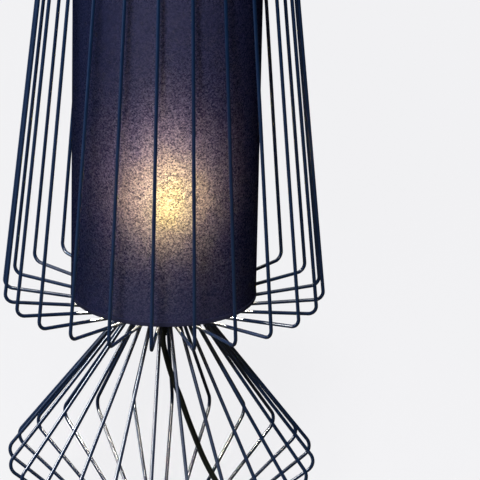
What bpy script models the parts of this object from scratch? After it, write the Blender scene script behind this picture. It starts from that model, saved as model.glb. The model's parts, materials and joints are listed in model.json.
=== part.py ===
"""Wire-cage table lamp: bent wire ribs round a fabric drum shade, standing on a diamond-shaped wire foot.

Metres, +Z up. The origin is on the table, under the middle of the foot. The ribs stand at even angles round
the Z axis, half a step off +X, so each of the X and Y axes runs through the middle of a gap between two ribs.
"""

import math

import bmesh
import bpy
from mathutils import Matrix, Vector

MM = 0.001
GAP = 0.3 * MM

# Ribs, all heights measured from the cage's lower corner
RIB_COUNT = 24
WIRE_RADIUS = 1.7 * MM
CAGE_RADIUS = 150 * MM
CAGE_HEIGHT = 380 * MM
CAGE_LEAN = math.radians(6.16)
WAIST_RADIUS = 31.3 * MM
FOOT_RADIUS = 149 * MM
FOOT_DROP = 167 * MM
FOOT_UNDERCUT = math.radians(38.8)
TOE_RADIUS = 75 * MM
TOE_LENGTH = 15 * MM
TOP_HOOK_END = 91 * MM
TOP_BEND = 9 * MM
CAGE_BEND = 8.5 * MM
WAIST_BEND = 4.5 * MM
FOOT_BEND = 12 * MM
TOE_BEND = 8 * MM

# Rings, hub and foot plate
TOP_RING_RADIUS = 92 * MM
TOP_RING_WIRE = 2.5 * MM
HUB_THICKNESS = 5 * MM
HUB_BORE = 5.3 * MM
PLATE_RADIUS = 80 * MM
PLATE_THICKNESS = 8 * MM
PLATE_EDGE = 1.5 * MM
FELT_RADIUS = 77 * MM
FELT_THICKNESS = 1.5 * MM

# Shade
SHADE_RADIUS = 86.5 * MM
SHADE_WALL = 1.0 * MM
SHADE_BOTTOM = 0.5 * MM
SHADE_TOP = 370 * MM
SHADE_WIRE = 1.75 * MM
ARM_COUNT = 3
ARM_TURN = math.radians(30)
ARM_SHOULDER = 42 * MM
ARM_KNEE = 72 * MM
ARM_BEND = 12 * MM

# Lamp holder and bulb, heights above the hub's top face
NUT_HEIGHT = 3 * MM
NUT_ACROSS_FLATS = 15 * MM
NIPPLE_RADIUS = 4.9 * MM
NIPPLE_BORE = 3.3 * MM
NIPPLE_BELOW = 11 * MM
NIPPLE_ABOVE = 13 * MM
HOLDER_CAP_HEIGHT = 18 * MM
HOLDER_RADIUS = 19.8 * MM
HOLDER_TOP = 62 * MM
HOLDER_WALL = 2 * MM
HOLDER_FLOOR = 4 * MM
FLANGE_RADIUS = 24 * MM
FLANGE_TOP = 28 * MM
FLANGE_THICKNESS = 2.5 * MM
WASHER_OUTER = 30 * MM
WASHER_THICKNESS = 2 * MM
RING_OUTER = 27 * MM
RING_HEIGHT = 9 * MM
RING_FLUTES = 18
SOCKET_RADIUS = 14.6 * MM
SOCKET_WALL = 0.8 * MM
BULB_CAP_RADIUS = 13.3 * MM
BULB_CAP_TOP = 60 * MM
BULB_CAP_HEIGHT = 26 * MM
BULB_INSULATOR = 5 * MM
BULB_RADIUS = 40 * MM
BULB_CENTRE = 110 * MM
BULB_WALL = 0.9 * MM

# Cord, its switch and its plug
CORD_RADIUS = 2.7 * MM
CORD_POINT_SPACING = 12 * MM
GRIP_LENGTH = 22 * MM
GRIP_TOP_RADIUS = 7.5 * MM
GRIP_END_RADIUS = 3.7 * MM
SWITCH_PLACE = Vector((158 * MM, -75 * MM, 8.2 * MM))
SWITCH_LENGTH = 62 * MM
SWITCH_HALF_WIDTH = 13 * MM
SWITCH_HALF_HEIGHT = 7.9 * MM
SWITCH_END_HALF_WIDTH = 6.5 * MM
SWITCH_END_HALF_HEIGHT = 5.5 * MM
SWITCH_NECK_RADIUS = 4.4 * MM
SWITCH_NECK_LENGTH = 6 * MM
ROCKER_PIVOT = 3.8 * MM
ROCKER_HALF_LENGTH = 11.5 * MM
ROCKER_HALF_WIDTH = 5.8 * MM
ROCKER_TILT = math.radians(7)
ROCKER_CLEARANCE = 0.8 * MM
TRUNNION_RADIUS = 1.2 * MM
COIL_INNER_RADIUS = 23.3 * MM
COIL_PITCH = 5.9 * MM
COIL_TURNS = 6.5
COIL_HEIGHT = 4.4 * MM
COIL_FORWARD = 156 * MM
POINTS_PER_TURN = 24
TIE_WIDTH = 7 * MM
TIE_THICKNESS = 0.8 * MM
PLUG_LENGTH = 52 * MM
PLUG_NECK = 16 * MM
TAIL_LENGTH = 20 * MM
PLUG_PIN_RADIUS = 2 * MM
PLUG_PIN_LENGTH = 19 * MM
PLUG_PIN_SPACING = 18.6 * MM
PLUG_HEIGHT = 7.2 * MM

# Places worked out from the sizes above
PLATE_BOTTOM = FELT_THICKNESS + GAP
PLATE_TOP = PLATE_BOTTOM + PLATE_THICKNESS
TOE_HEIGHT = PLATE_TOP + GAP + WIRE_RADIUS
UNDERCUT_DROP = (FOOT_RADIUS - TOE_RADIUS) * math.tan(FOOT_UNDERCUT)
CORNER_HEIGHT = TOE_HEIGHT + UNDERCUT_DROP + FOOT_DROP
CAGE_TOP = CORNER_HEIGHT + CAGE_HEIGHT
COIL_OUTER_RADIUS = COIL_INNER_RADIUS + COIL_PITCH * COIL_TURNS / 2
COIL_CENTRE = Vector((SWITCH_PLACE.x - COIL_OUTER_RADIUS, -COIL_FORWARD, COIL_HEIGHT))


def clear_scene():
    """Start from an empty scene."""
    for old in list(bpy.data.objects):
        bpy.data.objects.remove(old)


def finish(name, red, green, blue, roughness, metallic=0.0):
    """A plain material of one colour."""
    material = bpy.data.materials.new(name)
    material.use_nodes = True
    shader = material.node_tree.nodes["Principled BSDF"]
    shader.inputs["Base Color"].default_value = (red, green, blue, 1.0)
    shader.inputs["Roughness"].default_value = roughness
    shader.inputs["Metallic"].default_value = metallic
    return material


def place(name, data, material, parent=None):
    """Put data into the scene as a named object with one material."""
    obj = bpy.data.objects.new(name, data)
    bpy.context.scene.collection.objects.link(obj)
    data.materials.clear()
    data.materials.append(material)
    obj.parent = parent
    return obj


def anchor(name, location):
    """An empty that other pieces are placed from."""
    empty = bpy.data.objects.new(name, None)
    empty.location = location
    bpy.context.scene.collection.objects.link(empty)
    return empty


def settle(obj):
    """Keep an object's evaluated mesh, welded, shaded smooth between sharp edges."""
    bpy.context.view_layer.update()
    evaluated = obj.evaluated_get(bpy.context.evaluated_depsgraph_get())
    mesh = bpy.data.meshes.new_from_object(evaluated)
    shape = bmesh.new()
    shape.from_mesh(mesh)
    bmesh.ops.remove_doubles(shape, verts=shape.verts, dist=0.001 * MM)
    shape.to_mesh(mesh)
    shape.free()
    mesh.shade_smooth()
    mesh.set_sharp_from_angle(angle=math.radians(35))
    obj.modifiers.clear()
    obj.data = mesh
    return obj


def combine(target, tool, operation):
    """Join a second solid to the first, or cut the first with it."""
    boolean = target.modifiers.new(operation.lower(), "BOOLEAN")
    boolean.operation = operation
    boolean.object = tool
    settle(target)
    bpy.data.objects.remove(tool)
    return target


def as_mesh(curve_object):
    """The same piece as a mesh object in place of a curve object."""
    name = curve_object.name
    material = curve_object.data.materials[0]
    parent = curve_object.parent
    bpy.context.view_layer.update()
    evaluated = curve_object.evaluated_get(bpy.context.evaluated_depsgraph_get())
    mesh = bpy.data.meshes.new_from_object(evaluated)
    bpy.data.objects.remove(curve_object)
    return settle(place(name, mesh, material, parent))


def turned(name, profile, material, steps=24, parent=None):
    """Revolve (radius, height) points round Z; they run down the outer side, then up the inner side."""
    closed = profile[0][0] > 0
    count = len(profile)
    edges = [(i, (i + 1) % count) for i in range(count if closed else count - 1)]
    mesh = bpy.data.meshes.new(name)
    mesh.from_pydata([(radius, 0, height) for radius, height in profile], edges, [])
    obj = place(name, mesh, material, parent)
    screw = obj.modifiers.new("turn", "SCREW")
    screw.steps = steps
    screw.render_steps = steps
    screw.use_merge_vertices = True
    screw.merge_threshold = 0.01 * MM
    return settle(obj)


def tube(name, points, radius, material, resolution=1, closed=False, parent=None):
    """A round wire or cord through the points."""
    curve = bpy.data.curves.new(name, "CURVE")
    curve.dimensions = "3D"
    curve.bevel_depth = radius
    curve.bevel_resolution = resolution
    curve.use_fill_caps = not closed
    spline = curve.splines.new("POLY")
    spline.points.add(len(points) - 1)
    for point, position in zip(spline.points, points):
        point.co = (*position, 1.0)
    spline.use_cyclic_u = closed
    return place(name, curve, material, parent)


def wire_ring(name, radius, wire_radius, height, material, count=40):
    """A closed ring of round wire, level, round the Z axis."""
    steps = [math.tau * i / count for i in range(count)]
    points = [Vector((radius * math.cos(a), radius * math.sin(a), height)) for a in steps]
    return tube(name, points, wire_radius, material, closed=True)


def prism(name, outline, bottom, top, material, parent=None):
    """Extrude an outline of (x, y) points upwards."""
    shape = bmesh.new()
    face = shape.faces.new([shape.verts.new((x, y, bottom)) for x, y in outline])
    extruded = bmesh.ops.extrude_face_region(shape, geom=[face])
    lifted = [item for item in extruded["geom"] if isinstance(item, bmesh.types.BMVert)]
    bmesh.ops.translate(shape, verts=lifted, vec=(0, 0, top - bottom))
    bmesh.ops.recalc_face_normals(shape, faces=shape.faces)
    mesh = bpy.data.meshes.new(name)
    shape.to_mesh(mesh)
    shape.free()
    return place(name, mesh, material, parent)


def block(name, low, high, material, parent=None):
    """A rectangular block between two corners."""
    outline = [(low[0], low[1]), (high[0], low[1]), (high[0], high[1]), (low[0], high[1])]
    return prism(name, outline, low[2], high[2], material, parent)


def crossways_rod(name, radius, half_length, height, material, parent=None):
    """A round rod along X."""
    points = [Vector((-half_length, 0, height)), Vector((half_length, 0, height))]
    return as_mesh(tube(name, points, radius, material, 2, parent=parent))


def loft(name, sections, material, parent=None):
    """A closed skin over loops that all have the same number of points."""
    shape = bmesh.new()
    loops = [[shape.verts.new(point) for point in section] for section in sections]
    for lower, upper in zip(loops, loops[1:]):
        for i in range(len(lower)):
            j = (i + 1) % len(lower)
            shape.faces.new((lower[i], lower[j], upper[j], upper[i]))
    shape.faces.new(loops[0])
    shape.faces.new(loops[-1])
    bmesh.ops.recalc_face_normals(shape, faces=shape.faces)
    mesh = bpy.data.meshes.new(name)
    shape.to_mesh(mesh)
    shape.free()
    return place(name, mesh, material, parent)


def rounded_section(half_width, half_height, along, squareness, count=16):
    """A loop across Y between an ellipse (squareness 2) and a rounded box (squareness 4 and up)."""
    loop = []
    power = 2 / squareness
    for i in range(count):
        angle = math.tau * (i + 0.5) / count
        c = math.cos(angle)
        s = math.sin(angle)
        x = half_width * math.copysign(abs(c) ** power, c)
        z = half_height * math.copysign(abs(s) ** power, s)
        loop.append(Vector((x, along, z)))
    return loop


def arc(centre, radius, start, end, steps):
    """Points of an arc in the (radius, height) plane, angles in degrees."""
    points = []
    for i in range(steps + 1):
        angle = math.radians(start + (end - start) * i / steps)
        points.append((centre[0] + radius * math.cos(angle), centre[1] + radius * math.sin(angle)))
    return points


def bend(before, corner, after, radius, steps):
    """Points of the round bend that a wire makes at a corner between two straight runs."""
    to_before = (before - corner).normalized()
    to_after = (after - corner).normalized()
    half = to_before.angle(to_after) / 2
    centre = corner + (to_before + to_after).normalized() * (radius / math.sin(half))
    start = corner + to_before * (radius / math.tan(half)) - centre
    turn = math.pi - 2 * half
    if start.cross(to_before) > 0:
        turn = -turn
    return [centre + Matrix.Rotation(turn * i / steps, 2) @ start for i in range(steps + 1)]


def rib_path():
    """One rib's centre line as (radius, height) points, from its top hook down to its toe."""
    waist_drop = (CAGE_RADIUS - WAIST_RADIUS) * math.tan(CAGE_LEAN)
    top_radius = CAGE_RADIUS - CAGE_HEIGHT * math.tan(CAGE_LEAN)
    corners = [
        (Vector((top_radius, CAGE_TOP)), TOP_BEND, 3),
        (Vector((CAGE_RADIUS, CORNER_HEIGHT)), CAGE_BEND, 3),
        (Vector((WAIST_RADIUS, CORNER_HEIGHT - waist_drop)), WAIST_BEND, 4),
        (Vector((FOOT_RADIUS, CORNER_HEIGHT - FOOT_DROP)), FOOT_BEND, 4),
        (Vector((TOE_RADIUS, TOE_HEIGHT)), TOE_BEND, 2),
    ]
    first = Vector((TOP_HOOK_END, CAGE_TOP))
    last = Vector((TOE_RADIUS - TOE_LENGTH, TOE_HEIGHT))
    stations = [first] + [corner for corner, _, _ in corners] + [last]
    path = [first]
    for i, (corner, radius, steps) in enumerate(corners):
        path += bend(stations[i], corner, stations[i + 2], radius, steps)
    return path + [last]


def make_ribs(path, paint):
    """All ribs share one bent wire, turned to even angles round the axis."""
    points = [Vector((radius, 0, height)) for radius, height in path]
    step = math.tau / RIB_COUNT
    first = tube("rib_01", points, WIRE_RADIUS, paint)
    first.rotation_euler.z = step / 2
    for i in range(1, RIB_COUNT):
        rib = bpy.data.objects.new(f"rib_{i + 1:02d}", first.data)
        rib.rotation_euler.z = step * (i + 0.5)
        bpy.context.scene.collection.objects.link(rib)


def make_frame(hub_radius, hub_top, paint, felt):
    """What ties the ribs together: top ring, hub, foot plate and the felt under it."""
    ring_height = CAGE_TOP - WIRE_RADIUS - GAP - TOP_RING_WIRE
    wire_ring("top_ring", TOP_RING_RADIUS, TOP_RING_WIRE, ring_height, paint)
    edge = 0.8 * MM
    bottom = hub_top - HUB_THICKNESS
    hub = [
        (HUB_BORE, hub_top),
        (hub_radius - edge, hub_top),
        (hub_radius, hub_top - edge),
        (hub_radius, bottom + edge),
        (hub_radius - edge, bottom),
        (HUB_BORE, bottom),
    ]
    turned("waist_hub", hub, paint)
    inner = PLATE_RADIUS - PLATE_EDGE
    plate = [(0, PLATE_TOP)]
    plate += arc((inner, PLATE_TOP - PLATE_EDGE), PLATE_EDGE, 90, 0, 3)
    plate += [(PLATE_RADIUS, PLATE_BOTTOM), (0, PLATE_BOTTOM)]
    turned("foot_plate", plate, paint, 48)
    pad = [(0, FELT_THICKNESS), (FELT_RADIUS, FELT_THICKNESS), (FELT_RADIUS, 0), (0, 0)]
    turned("felt_pad", pad, felt, 36)


def make_nipple(axis, zinc, black):
    """Hollow threaded tube through the hub, its lock nut and the cord grip under the hub."""
    below = -HUB_THICKNESS - NIPPLE_BELOW
    tube_profile = [
        (NIPPLE_BORE, NIPPLE_ABOVE),
        (NIPPLE_RADIUS, NIPPLE_ABOVE),
        (NIPPLE_RADIUS, below),
        (NIPPLE_BORE, below),
    ]
    turned("nipple", tube_profile, zinc, 16, axis)
    corner = NUT_ACROSS_FLATS / math.sqrt(3)
    hexagon = [(corner * math.cos(i * math.pi / 3), corner * math.sin(i * math.pi / 3)) for i in range(6)]
    nut = prism("nipple_nut", hexagon, GAP, GAP + NUT_HEIGHT, zinc, axis)
    bore_radius = NIPPLE_RADIUS + GAP
    bore = [(0, NUT_HEIGHT + MM), (bore_radius, NUT_HEIGHT + MM), (bore_radius, -MM), (0, -MM)]
    combine(nut, turned("nut_bore", bore, zinc, 16, axis), "DIFFERENCE")
    top = -HUB_THICKNESS - GAP
    end = top - GRIP_LENGTH
    collar = 5 * MM
    grip = [
        (0, below - GAP),
        (bore_radius, below - GAP),
        (bore_radius, top),
        (GRIP_TOP_RADIUS, top),
        (GRIP_TOP_RADIUS, top - collar),
        (GRIP_TOP_RADIUS - 1.5 * MM, top - collar - 1.5 * MM),
        (GRIP_END_RADIUS, end),
        (0, end),
    ]
    turned("cord_grip", grip, black, 16, axis)


def make_holder(axis, black, brass):
    """Screw lamp holder: cap, threaded skirt, screw shell, contact and the ring that clamps the shade."""
    start = 2 * GAP + NUT_HEIGHT
    entry = NIPPLE_RADIUS + GAP
    waist = 13 * MM
    cap = [
        (HOLDER_RADIUS - HOLDER_WALL, HOLDER_CAP_HEIGHT),
        (HOLDER_RADIUS, HOLDER_CAP_HEIGHT),
        (HOLDER_RADIUS, start + 6 * MM),
        (HOLDER_RADIUS - 2 * MM, start + 3 * MM),
        (waist, start),
        (entry, start),
        (entry, start + 3 * MM),
        (waist - HOLDER_WALL, start + 3 * MM),
        (HOLDER_RADIUS - 2 * HOLDER_WALL, start + 6 * MM),
        (HOLDER_RADIUS - HOLDER_WALL, start + 8 * MM),
    ]
    turned("holder_cap", cap, black, parent=axis)

    bore = SOCKET_RADIUS + GAP
    floor = HOLDER_CAP_HEIGHT + GAP + HOLDER_FLOOR
    lead_hole = 3 * MM
    skirt = [
        (bore, HOLDER_TOP),
        (HOLDER_RADIUS - 1.5 * MM, HOLDER_TOP),
        (HOLDER_RADIUS, HOLDER_TOP - 1.5 * MM),
        (HOLDER_RADIUS, FLANGE_TOP),
        (FLANGE_RADIUS, FLANGE_TOP),
        (FLANGE_RADIUS, FLANGE_TOP - FLANGE_THICKNESS),
        (HOLDER_RADIUS, FLANGE_TOP - FLANGE_THICKNESS - 2 * MM),
        (HOLDER_RADIUS, HOLDER_CAP_HEIGHT + GAP),
        (lead_hole, HOLDER_CAP_HEIGHT + GAP),
        (lead_hole, floor),
        (bore, floor),
    ]
    turned("holder_skirt", skirt, black, parent=axis)

    shell_bottom = floor + GAP
    shell_top = HOLDER_TOP - 2 * MM
    shell_inner = SOCKET_RADIUS - SOCKET_WALL
    shell = [
        (shell_inner, shell_top),
        (SOCKET_RADIUS, shell_top),
        (SOCKET_RADIUS, shell_bottom),
        (shell_inner, shell_bottom),
    ]
    turned("socket_shell", shell, brass, parent=axis)

    contact_top = BULB_CAP_TOP - BULB_CAP_HEIGHT - BULB_INSULATOR - GAP
    contact = [
        (0, contact_top),
        (3 * MM, contact_top),
        (4.5 * MM, contact_top - 1.5 * MM),
        (4.5 * MM, shell_bottom),
        (0, shell_bottom),
    ]
    turned("centre_contact", contact, brass, 16, axis)
    make_holder_ring(axis, black)


def make_holder_ring(axis, black):
    """Fluted ring that screws down on the shade's washer."""
    bottom = FLANGE_TOP + 2 * GAP + WASHER_THICKNESS
    inner = HOLDER_RADIUS + GAP
    count = RING_FLUTES * 4
    flute_depth = 0.7 * MM
    outline = []
    for i in range(count):
        angle = math.tau * i / count
        radius = RING_OUTER - flute_depth * (0.5 - 0.5 * math.cos(RING_FLUTES * angle))
        outline.append((radius * math.cos(angle), radius * math.sin(angle)))
    ring = prism("holder_ring", outline, bottom, bottom + RING_HEIGHT, black, axis)
    bore = [(0, bottom + 2 * RING_HEIGHT), (inner, bottom + 2 * RING_HEIGHT), (inner, 0), (0, 0)]
    combine(ring, turned("ring_bore", bore, black, 24, axis), "DIFFERENCE")


def make_shade(hub_top, fabric, steel):
    """Fabric drum, its upper ring, and the carrier: washer, three arms and lower ring welded together."""
    low = CORNER_HEIGHT + SHADE_BOTTOM
    high = CORNER_HEIGHT + SHADE_TOP
    inner = SHADE_RADIUS - SHADE_WALL
    drum = [(inner, high), (SHADE_RADIUS, high), (SHADE_RADIUS, low), (inner, low)]
    turned("shade_drum", drum, fabric, 64)
    ring_radius = inner - GAP - SHADE_WIRE
    wire_ring("shade_top_ring", ring_radius, SHADE_WIRE, high - 1.2 * SHADE_WIRE, steel, 32)

    ring_height = low + 1.2 * SHADE_WIRE
    carrier = as_mesh(wire_ring("shade_carrier", ring_radius, SHADE_WIRE, ring_height, steel, 32))
    washer_bottom = hub_top + FLANGE_TOP + GAP
    washer_top = washer_bottom + WASHER_THICKNESS
    bore = HOLDER_RADIUS + 2 * GAP
    washer = [
        (bore, washer_top),
        (WASHER_OUTER, washer_top),
        (WASHER_OUTER, washer_bottom),
        (bore, washer_bottom),
    ]
    combine(carrier, turned("washer", washer, steel), "UNION")
    arm_height = (washer_bottom + washer_top) / 2
    inner_end = Vector((RING_OUTER + MM, arm_height))
    shoulder = Vector((ARM_SHOULDER, arm_height))
    knee = Vector((ARM_KNEE, ring_height))
    outer_end = Vector((ring_radius, ring_height))
    path = [inner_end]
    path += bend(inner_end, shoulder, knee, ARM_BEND, 3)
    path += bend(shoulder, knee, outer_end, ARM_BEND, 3)
    path += [outer_end]
    for i in range(ARM_COUNT):
        turn = Matrix.Rotation(ARM_TURN + math.tau * i / ARM_COUNT, 3, "Z")
        points = [turn @ Vector((radius, 0, height)) for radius, height in path]
        combine(carrier, as_mesh(tube("arm", points, SHADE_WIRE, steel)), "UNION")


def make_bulb(axis, opal, cap_metal):
    """Screw-cap bulb: a hollow metal cap and a hollow glass open into it."""
    cap_bottom = BULB_CAP_TOP - BULB_CAP_HEIGHT
    wall = 0.6 * MM
    button = 4.8 * MM
    button_bottom = cap_bottom - BULB_INSULATOR
    cap = [
        (0, cap_bottom + wall),
        (BULB_CAP_RADIUS - wall, cap_bottom + wall),
        (BULB_CAP_RADIUS - wall, BULB_CAP_TOP),
        (BULB_CAP_RADIUS, BULB_CAP_TOP),
        (BULB_CAP_RADIUS, cap_bottom),
        (button, button_bottom + MM),
        (button, button_bottom),
        (0, button_bottom),
    ]
    turned("bulb_cap", cap, cap_metal, parent=axis)

    neck = BULB_CAP_RADIUS - 0.5 * MM
    outer = glass_profile(BULB_RADIUS, neck)
    inner = glass_profile(BULB_RADIUS - BULB_WALL, neck - BULB_WALL)
    turned("bulb_glass", outer + inner[::-1], opal, parent=axis)


def glass_profile(radius, neck):
    """Half outline of the glass from its crown down to its neck."""
    globe_end = -38
    steps = 7
    globe = arc((0, BULB_CENTRE), radius, 90, globe_end, steps)
    globe[0] = (0, globe[0][1])
    start = Vector(globe[-1])
    end = Vector((neck, BULB_CAP_TOP + GAP))
    slope = Vector((math.sin(math.radians(globe_end)), -math.cos(math.radians(globe_end))))
    reach = (start - end).length
    points = []
    for i in range(1, 5):
        t = i / 4
        along = start + slope * reach * t
        down = end + Vector((0, reach * 0.6 * (1 - t)))
        points.append(tuple(along.lerp(down, t * t * (3 - 2 * t))))
    return globe + points


def smooth_route(route, spacing):
    """Points at about even spacing on a smooth curve through a route's own points."""
    ends = [2 * route[0] - route[1]] + route + [2 * route[-1] - route[-2]]
    points = []
    for a, b, c, d in zip(ends, ends[1:], ends[2:], ends[3:]):
        steps = max(1, round((c - b).length / spacing))
        for i in range(steps):
            t = i / steps
            curve = 2 * b + (c - a) * t + (2 * a - 5 * b + 4 * c - d) * t * t
            curve += (3 * b - a - 3 * c + d) * t ** 3
            points.append(curve / 2)
    return points + [route[-1]]


def drop_route(exit_height):
    """The cord from its grip down inside the foot, over the plate's rim and along the table to the switch."""
    end = SWITCH_PLACE + Vector((0, SWITCH_LENGTH / 2 + GAP, 0))
    across_and_down = [
        (0.6, 187),
        (4.3, 171),
        (9.6, 153),
        (17.3, 133),
        (24.4, 112),
        (31.8, 92),
        (39.6, 72),
        (47.5, 55.5),
        (56, 40.5),
        (65.5, 27.5),
        (76.5, 18.4),
        (89, 11.6),
        (103, 6.2),
        (117, 3.4),
    ]
    route = [Vector((0, 0, exit_height))]
    route += [Vector((x * MM, 0, z * MM)) for x, z in across_and_down]
    on_table = [(133, -3.4, 3.2), (146.5, -11.8, 4.2), (155.3, -24, 6.6), (158, -35, 8)]
    route += [Vector(point) * MM for point in on_table]
    return route + [end]


def coil_points():
    """The coil's centre line: in along the table layer, up at the innermost loop, out along the top layer."""
    half = COIL_TURNS / 2
    count = round(COIL_TURNS * POINTS_PER_TURN)
    climb = 0.25
    points = []
    for i in range(count + 1):
        turn = -half + COIL_TURNS * i / count
        radius = COIL_INNER_RADIUS + COIL_PITCH * abs(turn)
        lift = min(1.0, max(0.0, (turn + climb) / (2 * climb)))
        lift = lift * lift * (3 - 2 * lift)
        angle = -math.tau * (turn + half)
        offset = Vector((radius * math.cos(angle), radius * math.sin(angle), COIL_PITCH * lift))
        points.append(COIL_CENTRE + offset)
    lead = Vector((0, 2 * CORD_RADIUS, 0))
    return [points[0] + lead] + points + [points[-1] + lead]


def print_coil_gap(points):
    """Print the least clear distance between one part of the coil and another."""
    apart = POINTS_PER_TURN // 3
    least = min(
        (a - b).length
        for i, a in enumerate(points)
        for b in points[i + apart:]
    )
    print(f"cord_coil: least gap to itself {(least - 2 * CORD_RADIUS) / MM:.2f} mm")


def make_cord(exit_height, black):
    """Every stretch of the cord, and the tie round its coil."""
    tube("cord_drop", smooth_route(drop_route(exit_height), CORD_POINT_SPACING), CORD_RADIUS, black, 2)
    coil = coil_points()
    print_coil_gap(coil)
    tube("cord_coil", coil, CORD_RADIUS, black)
    level = Vector((0, CORD_RADIUS * 2, 0))
    leave = SWITCH_PLACE - Vector((0, SWITCH_LENGTH / 2 + GAP, 0))
    arrive = coil[0] + Vector((0, GAP, 0))
    run = smooth_route([leave, leave - level, arrive + level, arrive], CORD_POINT_SPACING / 2)
    tube("cord_run", run, CORD_RADIUS, black, 2)
    leave = coil[-1] + Vector((0, GAP, 0))
    arrive = plug_tail(coil) - Vector((0, GAP, 0))
    tail = smooth_route([leave, leave + level, arrive - level, arrive], CORD_POINT_SPACING / 2)
    tube("cord_tail", tail, CORD_RADIUS, black, 2)
    make_tie(black)


def plug_tail(coil):
    """Where the cord enters the plug, straight on from the coil's end."""
    return Vector((coil[-1].x, coil[-1].y + TAIL_LENGTH, PLUG_HEIGHT))


def make_tie(black):
    """Flat strap round the coil's bundle, on the side away from both leads."""
    half = COIL_TURNS / 2
    mid_radius = COIL_INNER_RADIUS + COIL_PITCH * half / 2
    inner_half_width = COIL_PITCH * half / 2 + CORD_RADIUS + 2 * GAP
    inner_half_height = COIL_PITCH / 2 + CORD_RADIUS + 2 * GAP
    outlines = []
    for thickness in (0, TIE_THICKNESS):
        loop = rounded_section(inner_half_width + thickness, inner_half_height + thickness, 0, 6)
        outlines.append([(point.x, point.z) for point in loop])
    hole, band = outlines
    tie = prism("cord_tie", band, -TIE_WIDTH / 2, TIE_WIDTH / 2, black)
    combine(tie, prism("tie_hole", hole, -TIE_WIDTH, TIE_WIDTH, black), "DIFFERENCE")
    upright = Matrix.Rotation(math.pi / 2, 4, "Y") @ Matrix.Rotation(math.pi / 2, 4, "Z")
    tie.matrix_world = Matrix.Translation(COIL_CENTRE + Vector((0, -mid_radius, COIL_PITCH / 2))) @ upright


def make_switch(black):
    """Cord switch: two shells parted at the cord's height, and a rocker on trunnions between them."""
    axis = anchor("switch_place", SWITCH_PLACE)
    sections = switch_sections()
    reach = 40 * MM
    base = settle(loft("switch_base", sections, black, axis))
    upper = block("upper_half", (-reach, -reach, -GAP / 2), (reach, reach, reach), black, axis)
    combine(base, upper, "DIFFERENCE")
    cover = settle(loft("switch_cover", sections, black, axis))
    lower = block("lower_half", (-reach, -reach, -reach), (reach, reach, GAP / 2), black, axis)
    combine(cover, lower, "DIFFERENCE")

    slot_x = ROCKER_HALF_WIDTH + 0.4 * MM
    slot_y = ROCKER_HALF_LENGTH + ROCKER_CLEARANCE
    pocket_depth = 1.5 * MM
    slot = block("slot", (-slot_x, -slot_y, -MM), (slot_x, slot_y, reach), black, axis)
    combine(cover, slot, "DIFFERENCE")
    pocket = block("pocket", (-slot_x, -slot_y, -pocket_depth), (slot_x, slot_y, reach), black, axis)
    combine(base, pocket, "DIFFERENCE")
    seat_reach = slot_x + 1.6 * MM
    seat = crossways_rod("seat", TRUNNION_RADIUS + GAP, seat_reach, ROCKER_PIVOT, black, axis)
    combine(cover, seat, "DIFFERENCE")

    pivot = anchor("rocker_pivot", (0, 0, ROCKER_PIVOT))
    pivot.parent = axis
    make_rocker(pivot, slot_x, black)


def switch_sections():
    """Loops along the switch: a round neck for the cord at each end, and a body that swells in the middle."""
    half_length = SWITCH_LENGTH / 2
    body_half = half_length - SWITCH_NECK_LENGTH
    step = 0.01 * MM
    necks = []
    for along in (-half_length, -body_half - step, body_half + step, half_length):
        necks.append(rounded_section(SWITCH_NECK_RADIUS, SWITCH_NECK_RADIUS, along, 2))
    body = []
    for i in range(9):
        t = -1 + i / 4
        swell = math.cos(t * math.pi / 2) ** 0.6 if abs(t) < 1 else 0.0
        half_width = SWITCH_END_HALF_WIDTH + (SWITCH_HALF_WIDTH - SWITCH_END_HALF_WIDTH) * swell
        half_height = SWITCH_END_HALF_HEIGHT + (SWITCH_HALF_HEIGHT - SWITCH_END_HALF_HEIGHT) * swell
        body.append(rounded_section(half_width, half_height, body_half * t, 4))
    return necks[:2] + body + necks[2:]


def make_rocker(pivot, slot_x, black):
    """Rocker with a dished top, tilted to its on stop, with a trunnion at each side."""
    end_rise = 4.6 * MM
    middle_rise = 3.3 * MM
    under = 3.0 * MM
    under_half_length = ROCKER_HALF_LENGTH - 1.5 * MM
    side = [(-under_half_length, -under + MM), (0, -under), (under_half_length, -under + MM)]
    for i in range(7):
        t = 1 - i / 3
        side.append((ROCKER_HALF_LENGTH * t, middle_rise + (end_rise - middle_rise) * t * t))
    rocker = prism("switch_rocker", side, -ROCKER_HALF_WIDTH, ROCKER_HALF_WIDTH, black)
    stand = Matrix.Rotation(math.pi / 2, 4, "Y") @ Matrix.Rotation(math.pi / 2, 4, "Z")
    rocker.data.transform(stand)
    combine(rocker, crossways_rod("trunnions", TRUNNION_RADIUS, slot_x + 1.2 * MM, 0, black), "UNION")
    rocker.parent = pivot
    rocker.rotation_euler.x = ROCKER_TILT


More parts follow.
